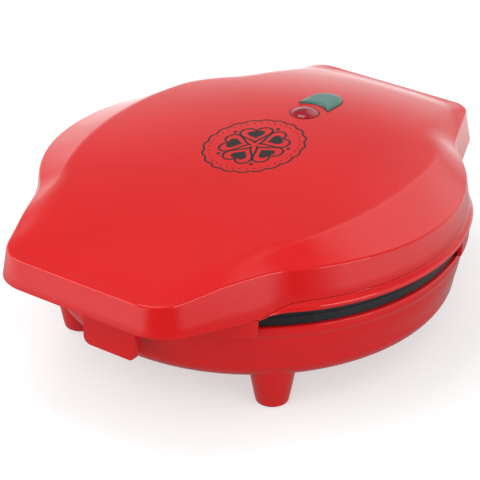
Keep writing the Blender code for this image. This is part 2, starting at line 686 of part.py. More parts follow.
def make_lid_frame(finish):
    """The lid's lower frame: plate, flared lip, drop walls, hinge cheeks and clip ears in one."""
    bm = bmesh.new()
    angles = frame_angles()
    columns = [[bm.verts.new(at_angle(radius, angle, z)) for radius, z in frame_section(angle)]
               for angle in angles]
    for column, after in zip(columns, columns[1:] + columns[:1]):
        for i in range(len(column)):
            j = (i + 1) % len(column)
            bm.faces.new((column[i], column[j], after[j], after[i]))
    bmesh.ops.triangulate(bm, faces=bm.faces)
    frame = place("lid_frame", mesh_from(bm, "lid_frame"), LID, finish, LID_OFFSET)
    root = FRAME_Z + FRAME_THICKNESS / 2
    bm = bmesh.new()
    for side in (-1, 1):
        cheek = arc((HINGE_Y, HINGE_Z), CHEEK_EYE_RADIUS, math.pi, 2 * math.pi, 10)
        cheek += [(HINGE_Y + CHEEK_EYE_RADIUS, root), (HINGE_Y - CHEEK_EYE_RADIUS, root)]
        for start, end in ((-PIN_REACH, -LUG_THICKNESS / 2), (LUG_THICKNESS / 2, PIN_REACH)):
            add_prism(bm, cheek, side * LUG_X + start, side * LUG_X + end, "X")
        ear = arc((-CLIP_Y, CLIP_PIVOT_Z), CLIP_EYE_RADIUS, 0, math.pi, 10)
        ear += [(-CLIP_Y - CLIP_EYE_RADIUS, root), (-CLIP_Y + CLIP_EYE_RADIUS, root)]
        add_prism(bm, ear, *sorted((side * (EAR_START + SEAT_GAP), side * EAR_END)), "X")
    adds = place("lid_frame_adds", mesh_from(bm, "lid_frame_adds"), LID, None, LID_OFFSET)
    boolean(frame, adds, "UNION")
    bm = bmesh.new()
    slot = LUG_EYE_RADIUS + RUNNING_GAP * 2
    for side in (-1, 1):
        add_box(bm, (side * LUG_X - CHEEK_START, HINGE_Y - slot, HINGE_Z - slot),
                (side * LUG_X + CHEEK_START, HINGE_Y + slot, FRAME_TOP_Z + OVERRUN))
    swing = CLIP_THICKNESS + (CLIP_PIVOT_Z - FRAME_Z) * math.tan(CLIP_TRAVEL)
    add_box(bm, (-EAR_START, -CLIP_Y - swing, FRAME_Z - OVERRUN),
            (EAR_START, -CLIP_Y + CLIP_THICKNESS / 2 + RUNNING_GAP * 2, FRAME_TOP_Z + OVERRUN))
    slots = place("lid_frame_slots", mesh_from(bm, "lid_frame_slots"), LID, None, LID_OFFSET)
    boolean(frame, slots, "DIFFERENCE")
    bm = bmesh.new()
    bore = HINGE_PIN_RADIUS + SEAT_GAP
    for side in (-1, 1):
        add_cone(bm, bore, bore, side * LUG_X - PIN_REACH - OVERRUN, side * LUG_X + PIN_REACH + OVERRUN,
                 (HINGE_Y, HINGE_Z), SMALL_STEPS, "X")
    bore = CLIP_PIN_RADIUS + SEAT_GAP
    add_cone(bm, bore, bore, -EAR_END - OVERRUN, EAR_END + OVERRUN, (-CLIP_Y, CLIP_PIVOT_Z), TINY_STEPS, "X")
    for x, y in cover_screw_spots():
        add_cone(bm, BORE_RADIUS, BORE_RADIUS, FRAME_Z - OVERRUN, FRAME_TOP_Z + OVERRUN, (x, y), TINY_STEPS)
    bores = place("lid_frame_bores", mesh_from(bm, "lid_frame_bores"), LID, None, LID_OFFSET)
    boolean(frame, bores, "DIFFERENCE")


def heart_flower():
    """Outline of five hearts with their points at the middle, as one closed flower."""
    lobe_angle = math.pi / HEART_COUNT / 2
    lobe = HEART_REACH * math.sin(lobe_angle) / (1 + math.sin(lobe_angle))
    hub = HEART_REACH - lobe
    points = []
    for heart in range(HEART_COUNT):
        for side, share in ((-1, CLEFT_SHARE), (1, NOTCH_SHARE)):
            angle = 4 * lobe_angle * heart + side * lobe_angle
            centre = (hub * math.sin(angle), -hub * math.cos(angle))
            outward = angle - math.pi / 2
            points += arc(centre, lobe * LOBE_SHARE, outward - LOBE_TURN, outward + LOBE_TURN, 6)
            inward = angle + lobe_angle
            points.append((hub * share * math.sin(inward), -hub * share * math.cos(inward)))
    return points


def ridge_star():
    """Outline of the thin ridges that part the hearts, as a star."""
    points = []
    reach = HEART_REACH * NOTCH_SHARE
    notch = RIDGE_WIDTH / 2 / math.sin(math.pi / HEART_COUNT)
    for arm in range(HEART_COUNT):
        turn = 2 * math.pi * (arm + 0.5) / HEART_COUNT
        along = Vector((math.sin(turn), -math.cos(turn)))
        across = Vector((-along.y, along.x))
        points.append(tuple(along * reach - across * RIDGE_WIDTH / 2))
        points.append(tuple(along * reach + across * RIDGE_WIDTH / 2))
        inner = turn + math.pi / HEART_COUNT
        points.append((notch * math.sin(inner), -notch * math.cos(inner)))
    return points


def add_knobs(bm, floor, side):
    """The knobs of all five hearts, as square frustums on the floor of the moulds."""
    ends = sorted((floor + side * OVERRUN, floor - side * KNOB_HEIGHT))
    radii = [size * HALF_DIAGONAL_SHARE for size in (KNOB_BASE, KNOB_TOP)][::-side]
    for heart in range(HEART_COUNT):
        turn = Matrix.Rotation(2 * math.pi * heart / HEART_COUNT, 4, "Z")
        for row, shares in enumerate(KNOB_ROW_SHARES):
            for share in shares:
                verts = add_cone(bm, radii[0], radii[1], ends[0], ends[1], (0, 0), 4)
                spot = Matrix.Translation((share * KNOB_PITCH, -KNOB_FIRST_ROW - row * KNOB_PITCH, 0))
                square = Matrix.Rotation(math.pi / 4, 4, "Z")
                bmesh.ops.transform(bm, matrix=turn @ spot @ square, verts=verts)


def make_plate(name, face_z, side, finish, parent, offset):
    """A cast plate: flange, body, five heart moulds with knobs, and screw bosses on its back.

    side is -1 for the lower plate, whose back is down, and 1 for the upper one.
    """
    back = face_z + side * PLATE_DEPTH
    flange = face_z + side * FLANGE_THICKNESS
    boss = back + side * BOSS_LENGTH
    floor = face_z + side * RECESS_DEPTH
    profile = [(0, back), (PLATE_BODY_RADIUS, back), (PLATE_BODY_RADIUS, flange), (PLATE_RADIUS, flange),
               (PLATE_RADIUS, face_z), (0, face_z)]
    plate = turned(name, profile[::side], parent, finish, TURN_STEPS, offset)
    bm = bmesh.new()
    add_prism(bm, heart_flower(), *sorted((floor, face_z - side * OVERRUN)))
    recess = place(name + "_recess", mesh_from(bm, name + "_recess"), parent, None, offset)
    boolean(plate, recess, "DIFFERENCE")
    bm = bmesh.new()
    add_knobs(bm, floor, side)
    knobs = place(name + "_knobs", mesh_from(bm, name + "_knobs"), parent, None, offset)
    boolean(plate, knobs, "UNION")
    bm = bmesh.new()
    add_prism(bm, ridge_star(), *sorted((floor + side * OVERRUN, floor - side * KNOB_HEIGHT)))
    for x, y in boss_spots():
        ends = sorted((back - side * OVERRUN, boss))
        add_cone(bm, BOSS_RADIUS, BOSS_RADIUS, ends[0], ends[1], (x, y))
    extras = place(name + "_extras", mesh_from(bm, name + "_extras"), parent, None, offset)
    boolean(plate, extras, "UNION")
    bm = bmesh.new()
    for x, y in boss_spots():
        ends = sorted((boss + side * OVERRUN, boss - side * (SCREW_GRIP + OVERRUN)))
        add_cone(bm, BORE_RADIUS, BORE_RADIUS, ends[0], ends[1], (x, y), TINY_STEPS)
    holes = place(name + "_holes", mesh_from(bm, name + "_holes"), parent, None, offset)
    boolean(plate, holes, "DIFFERENCE")


def make_heater(name, plate_back, side, finish, parent, offset):
    """A tubular heater bent to a horseshoe behind a plate, with both ends turned away from it."""
    z = plate_back + side * (SEAT_GAP + HEATER_TUBE_RADIUS)
    curve = bpy.data.curves.new(name, "CURVE")
    curve.dimensions = "3D"
    curve.bevel_depth = HEATER_TUBE_RADIUS
    curve.bevel_resolution = 2
    curve.use_fill_caps = True
    loop = arc((0, 0), HEATER_RADIUS, (math.pi - HEATER_OPENING) / 2,
               (HEATER_OPENING - 3 * math.pi) / 2, HEATER_STEPS)
    points = [(x, y, z) for x, y in loop]
    points = [(*loop[0], z + side * HEATER_LEG)] + points + [(*loop[-1], z + side * HEATER_LEG)]
    spline = curve.splines.new("POLY")
    spline.points.add(len(points) - 1)
    for spot, point in zip(spline.points, points):
        spot.co = (*point, 1.0)
    place(name, curve, parent, finish, offset)


def make_reflector(name, seat_z, side, finish, parent, offset):
    """A shallow tin dish behind a plate, with holes for the screws and the heater's ends."""
    back = seat_z + side * REFLECTOR_THICKNESS
    rim_radius = REFLECTOR_RADIUS + REFLECTOR_RIM
    rim_z = seat_z - side * REFLECTOR_RIM
    profile = [(0, back), (REFLECTOR_RADIUS + REFLECTOR_THICKNESS / 2, back),
               (rim_radius + REFLECTOR_THICKNESS, rim_z), (rim_radius, rim_z), (REFLECTOR_RADIUS, seat_z),
               (0, seat_z)]
    dish = turned(name, profile[::side], parent, finish, REFLECTOR_STEPS, offset)
    bm = bmesh.new()
    ends = sorted((seat_z - side * OVERRUN, back + side * OVERRUN))
    for x, y in boss_spots():
        add_cone(bm, BORE_RADIUS, BORE_RADIUS, ends[0], ends[1], (x, y), TINY_STEPS)
    for x, y in heater_end_spots():
        hole = HEATER_TUBE_RADIUS + RUNNING_GAP
        add_cone(bm, hole, hole, ends[0], ends[1], (x, y), TINY_STEPS)
    holes = place(name + "_holes", mesh_from(bm, name + "_holes"), parent, None, offset)
    boolean(dish, holes, "DIFFERENCE")


def make_base_housing(finish):
    """The base bowl with feet, hinge lugs, catch, gland boss and screw posts."""
    bead = RIM_Z - RIM_BEAD_HEIGHT
    outer = [(0, RIM_Z), (RIM_RADIUS - RIM_BEAD_STEP, RIM_Z), (RIM_RADIUS, RIM_Z - RIM_BEAD_STEP),
             (RIM_RADIUS, bead), (WALL_RADIUS, bead - RIM_BEAD_STEP)]
    outer += arc((WALL_END_RADIUS - BOWL_TURN_RADIUS, WALL_END_Z), BOWL_TURN_RADIUS, 0, -math.pi / 2, 5)
    base = turned("base_housing", outer + [(0, FOOT_HEIGHT)], BASE, finish)
    bm = bmesh.new()
    for x, y in foot_spots():
        add_cone(bm, FOOT_END_RADIUS, FOOT_TOP_RADIUS, PAD_THICKNESS + SEAT_GAP,
                 WALL_END_Z - SHELL_WALL, (x, y))
    arm_z = RIM_Z - SEAT_GAP
    start_y = WALL_END_RADIUS * math.cos(math.asin((LUG_X + LUG_THICKNESS) / WALL_END_RADIUS)) - SHELL_WALL
    lug = [(start_y, arm_z), (start_y, arm_z - LUG_ARM_DEPTH),
           (HINGE_Y - LUG_ARM_TIP, HINGE_Z - 2 * LUG_EYE_RADIUS)]
    lug += arc((HINGE_Y, HINGE_Z), LUG_EYE_RADIUS, math.radians(-40.0), math.pi, 12)
    lug += [(HINGE_Y - 1.5 * LUG_EYE_RADIUS, arm_z)]
    for side in (-1, 1):
        add_prism(bm, lug, side * LUG_X - LUG_THICKNESS / 2, side * LUG_X + LUG_THICKNESS / 2, "X")
    add_box(bm, (-HOOK_HALF_WIDTH, -CATCH_Y, CATCH_Z - CATCH_HEIGHT),
            (HOOK_HALF_WIDTH, -WALL_END_RADIUS + SHELL_WALL, CATCH_Z))
    add_cone(bm, GLAND_BOSS_RADIUS, GLAND_BOSS_RADIUS, WALL_END_RADIUS - 2 * SHELL_WALL, GLAND_FACE_Y,
             (0, GLAND_Z), SMALL_STEPS, "Y")
    adds = place("base_adds", mesh_from(bm, "base_adds"), BASE, None)
    boolean(base, adds, "UNION")
    cavity_radius = WALL_RADIUS - SHELL_WALL
    cavity = [(0, RIM_Z + OVERRUN), (cavity_radius, RIM_Z + OVERRUN), (cavity_radius, bead)]
    cavity += arc((WALL_END_RADIUS - BOWL_TURN_RADIUS, WALL_END_Z), BOWL_TURN_RADIUS - SHELL_WALL, 0,
                  -math.pi / 2, 3)
    boolean(base, turned("base_cavity", cavity + [(0, BOWL_FLOOR)], BASE, None), "DIFFERENCE")
    bm = bmesh.new()
    post_top = LOWER_REFLECTOR_Z - REFLECTOR_THICKNESS - SEAT_GAP
    for x, y in boss_spots():
        add_cone(bm, POST_RADIUS, POST_RADIUS, BOWL_FLOOR - SHELL_WALL / 2, post_top, (x, y))
    boolean(base, place("base_posts", mesh_from(bm, "base_posts"), BASE, None), "UNION")
    bm = bmesh.new()
    recess = SCREW_HEAD_RADIUS + SEAT_GAP
    for x, y in boss_spots():
        add_cone(bm, recess, recess, FOOT_HEIGHT - OVERRUN, FOOT_HEIGHT + SCREW_RECESS, (x, y))
    boolean(base, place("base_recesses", mesh_from(bm, "base_recesses"), BASE, None), "DIFFERENCE")
    bm = bmesh.new()
    for x, y in boss_spots():
        add_cone(bm, BORE_RADIUS, BORE_RADIUS, FOOT_HEIGHT + SCREW_RECESS - OVERRUN, post_top + OVERRUN,
                 (x, y), TINY_STEPS)
    stem = PAD_STEM_RADIUS + SEAT_GAP
    for x, y in foot_spots():
        add_cone(bm, stem, stem, PAD_THICKNESS - OVERRUN, PAD_THICKNESS + PAD_STEM_LENGTH + SEAT_GAP, (x, y),
                 TINY_STEPS)
    bore = HINGE_PIN_RADIUS + SEAT_GAP
    for side in (-1, 1):
        add_cone(bm, bore, bore, side * LUG_X - LUG_THICKNESS, side * LUG_X + LUG_THICKNESS,
                 (HINGE_Y, HINGE_Z), SMALL_STEPS, "X")
    bore = GLAND_RADIUS + SEAT_GAP
    add_cone(bm, bore, bore, WALL_END_RADIUS - BOWL_TURN_RADIUS, GLAND_FACE_Y + OVERRUN, (0, GLAND_Z),
             SMALL_STEPS, "Y")
    boolean(base, place("base_bores", mesh_from(bm, "base_bores"), BASE, None), "DIFFERENCE")


def make_foot_pad(name, x, y, finish):
    """A rubber pad under a foot, held by its stem."""
    stem_top = PAD_THICKNESS + PAD_STEM_LENGTH
    turned(name, [(0, stem_top), (PAD_STEM_RADIUS, stem_top), (PAD_STEM_RADIUS, PAD_THICKNESS),
                  (PAD_RADIUS, PAD_THICKNESS), (PAD_RADIUS, PAD_THICKNESS / 4),
                  (PAD_RADIUS - PAD_THICKNESS / 4, 0), (0, 0)], BASE, finish, SMALL_STEPS, (x, y, 0))


def make_screw(name, spot, tip, seat, finish, parent, offset):
    """A round-head screw whose head meets seat and whose point is at tip, above or below it."""
    side = 1 if tip > seat else -1
    head = seat - side * SCREW_HEAD_HEIGHT
    profile = [(0, tip), (SCREW_RADIUS, tip), (SCREW_RADIUS, seat), (SCREW_HEAD_RADIUS, seat),
               (SCREW_HEAD_RADIUS, head), (0, head)]
    turned(name, profile[::side], parent, finish, TINY_STEPS,
           (spot[0] + offset[0], spot[1] + offset[1], offset[2]))


def make_pin(name, radius, low, high, centre, finish, parent, offset):
    """A plain steel pin along X."""
    bm = bmesh.new()
    add_cone(bm, radius, radius, low, high, centre, SMALL_STEPS, "X")
    place(name, mesh_from(bm, name), parent, finish, offset)


def make_clip(finish):
    """The front clip: a plate with rounded lower corners, an eye for its pin and a hook behind."""
    bm = bmesh.new()
    corner = CLIP_CORNER_RADIUS
    width, length = CLIP_HALF_WIDTH, CLIP_LENGTH
    outline = [(-width, 0)] + arc((corner - width, corner - length), corner, math.pi, 1.5 * math.pi, 5)
    outline += arc((width - corner, corner - length), corner, -math.pi / 2, 0, 5) + [(width, 0)]
    add_prism(bm, outline, -CLIP_THICKNESS / 2, CLIP_THICKNESS / 2, "Y")
    clip = place("latch_clip", mesh_from(bm, "latch_clip"), CLIP, finish)
    bm = bmesh.new()
    add_cone(bm, CLIP_EYE_RADIUS, CLIP_EYE_RADIUS, -width, width, (0, 0), SMALL_STEPS, "X")
    top = CATCH_Z - CATCH_HEIGHT - SEAT_GAP - CLIP_PIVOT_Z
    reach = CLIP_THICKNESS / 2 + HOOK_REACH
    hook = [(0, top), (reach, top), (reach, top - HOOK_TIP), (CLIP_THICKNESS / 2, top - HOOK_HEIGHT),
            (0, top - HOOK_HEIGHT)]
    add_prism(bm, hook, -HOOK_HALF_WIDTH, HOOK_HALF_WIDTH, "X")
    boolean(clip, place("latch_adds", mesh_from(bm, "latch_adds"), CLIP, None), "UNION")
    bm = bmesh.new()
    bore = CLIP_PIN_RADIUS + SEAT_GAP
    add_cone(bm, bore, bore, -width - OVERRUN, width + OVERRUN, (0, 0), TINY_STEPS, "X")
    boolean(clip, place("latch_bore", mesh_from(bm, "latch_bore"), CLIP, None), "DIFFERENCE")


def make_power_lens(finish):
    """The round domed lens."""
    rim = lid_top(0, POWER_LENS_Y)
    sphere = (POWER_LENS_RADIUS ** 2 + LENS_DOME ** 2) / (2 * LENS_DOME)
    spread = math.asin(POWER_LENS_RADIUS / sphere)
    dome = [(sphere * math.sin(spread * i / 5), rim + LENS_DOME - sphere * (1 - math.cos(spread * i / 5)))
            for i in range(6)]
    turned("power_lens", dome + [(POWER_LENS_RADIUS, rim - LENS_DEPTH), (0, rim - LENS_DEPTH)], LID, finish,
           2 * TINY_STEPS, (0, POWER_LENS_Y + LID_OFFSET[1], LID_OFFSET[2]))


def make_ready_lens(finish):
    """The shield-shaped lens, which follows the crown and stands a little proud."""
    outline = ready_lens_outline()
    middle = (0, POWER_LENS_Y + (READY_LENS_LENGTH + POWER_LENS_RADIUS + READY_LENS_GAP) / 2)
    bm = bmesh.new()
    low = lid_top(0, POWER_LENS_Y + READY_LENS_LENGTH) - LENS_DEPTH
    rings = [[bm.verts.new((x, y, low)) for x, y in outline],
             [bm.verts.new((x, y, lid_top(x, y) + READY_LENS_PROUD / 4)) for x, y in outline],
             [bm.verts.new((x, y, lid_top(x, y) + READY_LENS_PROUD))
              for x, y in grown(outline, -READY_LENS_PROUD)]]
    for lower, upper in zip(rings, rings[1:]):
        for i in range(len(outline)):
            after = (i + 1) % len(outline)
            bm.faces.new((lower[i], lower[after], upper[after], upper[i]))
    tip = bm.verts.new((*middle, lid_top(*middle) + READY_LENS_PROUD))
    base = bm.verts.new((*middle, low))
    for i in range(len(outline)):
        after = (i + 1) % len(outline)
        bm.faces.new((rings[2][i], rings[2][after], tip))
        bm.faces.new((rings[0][after], rings[0][i], base))
    place("ready_lens", mesh_from(bm, "ready_lens"), LID, finish, LID_OFFSET)


def make_lamps(holder_finish, lamp_finish):
    """The lamp holder on the upper reflector, and one lamp in each of its pockets."""
    ready_y = POWER_LENS_Y + READY_LENS_SHOULDER
    low = UPPER_REFLECTOR_Z + REFLECTOR_THICKNESS + SEAT_GAP
    high = lid_top(0, POWER_LENS_Y + READY_LENS_LENGTH) - LENS_DEPTH - SEAT_GAP
    side = LAMP_POCKET_RADIUS + HOLDER_WALL
    bm = bmesh.new()
    add_box(bm, (-side, POWER_LENS_Y - side, low), (side, ready_y + side, high))
    holder = place("lamp_holder", mesh_from(bm, "lamp_holder"), LID, holder_finish, LID_OFFSET)
    bm = bmesh.new()
    for y in (POWER_LENS_Y, ready_y):
        add_cone(bm, LAMP_POCKET_RADIUS, LAMP_POCKET_RADIUS, low + HOLDER_FLOOR, high + OVERRUN, (0, y))
    pockets = place("lamp_pockets", mesh_from(bm, "lamp_pockets"), LID, None, LID_OFFSET)
    boolean(holder, pockets, "DIFFERENCE")
    foot, top = low + HOLDER_FLOOR + SEAT_GAP, high - RUNNING_GAP
    for name, y in (("power_lamp", POWER_LENS_Y), ("ready_lamp", ready_y)):
        dome = [(r, top - LAMP_RADIUS + z) for r, z in arc((0, 0), LAMP_RADIUS, math.pi / 2, 0, 4)]
        turned(name, dome + [(LAMP_RADIUS, foot), (0, foot)], LID, lamp_finish, TINY_STEPS,
               (0, y + LID_OFFSET[1], LID_OFFSET[2]))


def make_gland(finish):
    """The cord's bush in the rear wall, with its bore open right through."""
    bm = bmesh.new()
    flange = GLAND_FACE_Y + SEAT_GAP
    nose = flange + GLAND_FLANGE + GLAND_NOSE
    shoulder = flange + GLAND_FLANGE
    profile = [(GLAND_BORE, nose), (GLAND_NOSE_RADIUS, nose),
               (GLAND_NOSE_RADIUS + GLAND_FLANGE / 4, shoulder), (GLAND_FLANGE_RADIUS, shoulder),
               (GLAND_FLANGE_RADIUS, flange), (GLAND_RADIUS, flange),
               (GLAND_RADIUS, WALL_END_RADIUS - GLAND_INSIDE), (GLAND_BORE, WALL_END_RADIUS - GLAND_INSIDE)]
    rings = []
    for step in range(SMALL_STEPS):
        turn = 2 * math.pi * step / SMALL_STEPS
        rings.append([bm.verts.new((r * math.sin(turn), y, GLAND_Z + r * math.cos(turn)))
                      for r, y in profile])
    for ring, after in zip(rings, rings[1:] + rings[:1]):
        for i in range(len(profile)):
            j = (i + 1) % len(profile)
            bm.faces.new((ring[i], ring[j], after[j], after[i]))
    place("cord_gland", mesh_from(bm, "cord_gland"), BASE, finish)


def make_inner_pieces(dark, tin, ceramic):
    """Thermostat and thermal fuse behind the lower plate, and the terminal block on the floor."""
    seat = LOWER_BACK_Z - SEAT_GAP
    step = THERMOSTAT_HEIGHT / 3
    turned("thermostat", [(0, seat), (THERMOSTAT_RADIUS, seat), (THERMOSTAT_RADIUS, seat - step),
                          (THERMOSTAT_RADIUS - step / 2, seat - step),
                          (THERMOSTAT_RADIUS - step / 2, seat - THERMOSTAT_HEIGHT),
                          (0, seat - THERMOSTAT_HEIGHT)], BASE, dark, SMALL_STEPS)
    bm = bmesh.new()
    add_cone(bm, FUSE_RADIUS, FUSE_RADIUS, -FUSE_LENGTH / 2, FUSE_LENGTH / 2, (FUSE_X, seat - FUSE_RADIUS),
             TINY_STEPS, "Y")
    place("thermal_fuse", mesh_from(bm, "thermal_fuse"), BASE, tin)
    bm = bmesh.new()
    low = BOWL_FLOOR + SEAT_GAP
    add_box(bm, (-BLOCK_WIDTH / 2, BLOCK_Y - BLOCK_DEPTH / 2, low),
            (BLOCK_WIDTH / 2, BLOCK_Y + BLOCK_DEPTH / 2, low + BLOCK_HEIGHT))
    block = place("terminal_block", mesh_from(bm, "terminal_block"), BASE, ceramic)
    bm = bmesh.new()
    for column in (-1, 0, 1):
        well = BLOCK_WIDTH / 9
        add_cone(bm, well, well, low + BLOCK_HEIGHT / 2, low + BLOCK_HEIGHT + OVERRUN,
                 (column * BLOCK_WIDTH / 3, BLOCK_Y), TINY_STEPS)
    boolean(block, place("terminal_wells", mesh_from(bm, "terminal_wells"), BASE, None), "DIFFERENCE")


clear_scene()
PARTS = new_collection("heart_waffle_maker")
CUTTERS = new_collection("cutters")
BASE = empty_at("plate_centre", None, (0, PLATE_Y, 0))
LID = empty_at("lid_hinge_axis", BASE, (0, HINGE_Y, HINGE_Z))
LID_OFFSET = (0, -HINGE_Y, -HINGE_Z)
CLIP = empty_at("clip_pivot_axis", LID, (0, -CLIP_Y - HINGE_Y, CLIP_PIVOT_Z - HINGE_Z))

RED_PLASTIC = material("red gloss plastic", (0.42, 0.008, 0.012), 0.12)
PLATE_COATING = material("dark coated aluminium", (0.035, 0.033, 0.032), 0.42, 0.3)
STEEL = material("steel", (0.62, 0.62, 0.60), 0.3, 1.0)
TIN = material("tin plate", (0.55, 0.55, 0.54), 0.38, 1.0)
PALE_RUBBER = material("pale rubber", (0.55, 0.53, 0.50), 0.7)
DARK_PLASTIC = material("dark plastic", (0.03, 0.03, 0.03), 0.5)
CERAMIC = material("pale ceramic", (0.75, 0.73, 0.68), 0.5)
RED_LENS = material("red lens", (0.7, 0.02, 0.02), 0.1, 0.0, 0.5)
GREEN_LENS = material("green lens", (0.03, 0.22, 0.17), 0.1, 0.0, 0.5)
GLASS = material("lamp glass", (0.9, 0.8, 0.7), 0.05, 0.0, 0.9)

make_base_housing(RED_PLASTIC)
for number, (foot_x, foot_y) in enumerate(foot_spots(), 1):
    make_foot_pad(f"foot_pad_{number}", foot_x, foot_y, PALE_RUBBER)
make_plate("lower_plate", LOWER_FACE_Z, -1, PLATE_COATING, BASE, (0, 0, 0))
make_heater("lower_heater", LOWER_BACK_Z, -1, STEEL, BASE, (0, 0, 0))
make_reflector("lower_reflector", LOWER_REFLECTOR_Z, -1, TIN, BASE, (0, 0, 0))
for number, spot in enumerate(boss_spots(), 1):
    make_screw(f"base_screw_{number}", spot, LOWER_BOSS_Z + SCREW_GRIP, FOOT_HEIGHT + SCREW_RECESS - SEAT_GAP,
               STEEL, BASE, (0, 0, 0))
make_inner_pieces(DARK_PLASTIC, TIN, CERAMIC)
make_gland(DARK_PLASTIC)
for name, side in (("hinge_pin_left", -1), ("hinge_pin_right", 1)):
    make_pin(name, HINGE_PIN_RADIUS, side * LUG_X - PIN_REACH, side * LUG_X + PIN_REACH, (HINGE_Y, HINGE_Z),
             STEEL, BASE, (0, 0, 0))

make_lid_cover(RED_PLASTIC)
make_lid_frame(RED_PLASTIC)
make_plate("upper_plate", UPPER_FACE_Z, 1, PLATE_COATING, LID, LID_OFFSET)
make_heater("upper_heater", UPPER_BACK_Z, 1, STEEL, LID, LID_OFFSET)
make_reflector("upper_reflector", UPPER_REFLECTOR_Z, 1, TIN, LID, LID_OFFSET)
for number, spot in enumerate(boss_spots(), 1):
    make_screw(f"upper_screw_{number}", spot, UPPER_BOSS_Z - SCREW_GRIP,
               UPPER_REFLECTOR_Z + REFLECTOR_THICKNESS + SEAT_GAP, STEEL, LID, LID_OFFSET)
for number, spot in enumerate(cover_screw_spots(), 1):
    make_screw(f"cover_screw_{number}", spot, FRAME_TOP_Z + SCREW_GRIP, FRAME_Z - SEAT_GAP, STEEL, LID,
               LID_OFFSET)
make_power_lens(RED_LENS)
make_ready_lens(GREEN_LENS)
make_lamps(DARK_PLASTIC, GLASS)
make_pin("latch_pin", CLIP_PIN_RADIUS, -EAR_END, EAR_END, (-CLIP_Y, CLIP_PIVOT_Z), STEEL, LID, LID_OFFSET)
make_clip(RED_PLASTIC)
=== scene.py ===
"""Looks for a heart waffle maker: moulded red shells, coated plates, lenses, floor, light and camera.

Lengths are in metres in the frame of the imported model. The middle of the plates is at (0, PLATE_Y, 0),
and an angle round it is counted from the front, towards +X.
"""
import math

import bmesh
import bpy
import numpy as np
from mathutils import Matrix, Vector
from mathutils.geometry import tessellate_polygon


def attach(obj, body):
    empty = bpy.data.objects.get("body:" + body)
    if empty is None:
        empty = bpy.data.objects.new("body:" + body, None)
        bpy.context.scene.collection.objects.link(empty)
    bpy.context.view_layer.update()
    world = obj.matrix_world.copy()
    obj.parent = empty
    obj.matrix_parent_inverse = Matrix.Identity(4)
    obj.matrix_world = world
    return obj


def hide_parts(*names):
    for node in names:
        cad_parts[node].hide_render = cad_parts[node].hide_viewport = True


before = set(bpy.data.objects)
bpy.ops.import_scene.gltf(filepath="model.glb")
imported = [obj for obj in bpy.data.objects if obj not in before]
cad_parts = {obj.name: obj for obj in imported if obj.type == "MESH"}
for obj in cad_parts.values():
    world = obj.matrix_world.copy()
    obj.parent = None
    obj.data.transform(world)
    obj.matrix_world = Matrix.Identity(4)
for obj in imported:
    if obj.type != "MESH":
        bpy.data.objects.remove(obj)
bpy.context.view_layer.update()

# Plan of the lid at the top of its wall
LID_RADIUS = 0.1063
FRONT_REACH = 0.1372
REAR_REACH = 0.1297
HANDLE_HALF_WIDTH = 0.0466
REAR_HALF_WIDTH = 0.0475
FRONT_SPLAY = math.radians(23.3)
REAR_SPLAY = math.radians(21.8)
FRONT_CORNER_RADIUS = 0.0190
REAR_CORNER_RADIUS = 0.0130
BLEND_RADIUS = 0.0400
WALL_DRAFT = math.radians(9.0)
PLATE_Y = (FRONT_REACH - REAR_REACH) / 2

# Levels
PAD_THICKNESS = 0.0026
FOOT_HEIGHT = 0.0180
RIM_Z = 0.0506
UPPER_FLANGE_Z = 0.0600
FRAME_Z = 0.0603
FRAME_TOP_Z = 0.0628
PARTING_Z = 0.05545
SKIRT_Z = 0.06125
EDGE_Z = 0.07805
EDGE_ROUND = 0.0017
WALL_TOP_Z = 0.07545
DROP_Z = RIM_Z + 0.00045
FRONT_DROP_Z = 0.0500
LENS_DEPTH = 0.0060

# Walls and gaps
SHELL_WALL = 0.0025
SEAT_GAP = 0.0003
RUNNING_GAP = 0.0005
LIP_FLARE = 0.00147
LIP_TOP_SHARE = 0.12
LIP_FALL_SHARE = 0.58
LIP_TURN_SHARE = 0.30
SKIRT_ROUND = 0.0004
SKIRT_ROUND_SHARE = 0.3
CUT_PAST = 0.001
WELD = 0.0010
DROP_WALL = 0.0020
FRONT_DROP_RADIUS = 0.1155
DROP_DRAFT = 0.0010

# Crown and crease
CROWN_RISE = 0.0149
CREASE_RISE = 0.0106
APEX_Y = 0.0400
CREASE_APEX_Y = 0.0060
CREASE_HALF_WIDTH = 0.0826
CREASE_ARC_RADIUS = 0.1720
CROWN_FRONT_POWER = 1.9
CROWN_REAR_POWER = 2.4
CREASE_POWER = 2.6
SHOULDER_POWER = 1.05
EDGE_SETTLE = 0.0160
CREASE_SOFTNESS = 0.0009
CREASE_TAPER = 1.04
CREASE_MERGE = (math.radians(26.0), math.radians(44.0))

# Sectors of the lid's lower wall
FRONT_DROP_ANGLE = math.radians(37.0)
REAR_DROP_ANGLE = math.radians(105.0)
DROP_STEP = (math.radians(11.5), math.radians(15.0))
LIP_START = (math.radians(36.5), math.radians(52.0))
LIP_END = (math.radians(120.0), math.radians(140.0))
SECTOR_EDGES = (FRONT_DROP_ANGLE, REAR_DROP_ANGLE)
SECTOR_STEP = math.radians(0.15)
EDGE_EVENING = 3.0
SKIRT_EVENING = 2.0

# Heights along the lid's wall, as angles in degrees from the front and metres: how far its top edge
# rises above the handle's, and where the cover's lower edge lies
EDGE_RISES = ((0, 0.0), (19, 0.0), (24, 0.0010), (30, 0.0034), (38, 0.0032), (48, 0.0030), (65, 0.0028),
              (88, 0.0014), (112, 0.0), (180, 0.0))
SKIRT_LEVELS = ((0, 0.0629), (18, 0.0629), (24, 0.0616), (28, 0.0607), (33, 0.0600), (37, 0.0596),
                (40, 0.0610), (44, 0.0638), (48, 0.0648), (120, 0.0648), (140, 0.06125), (180, 0.06125))

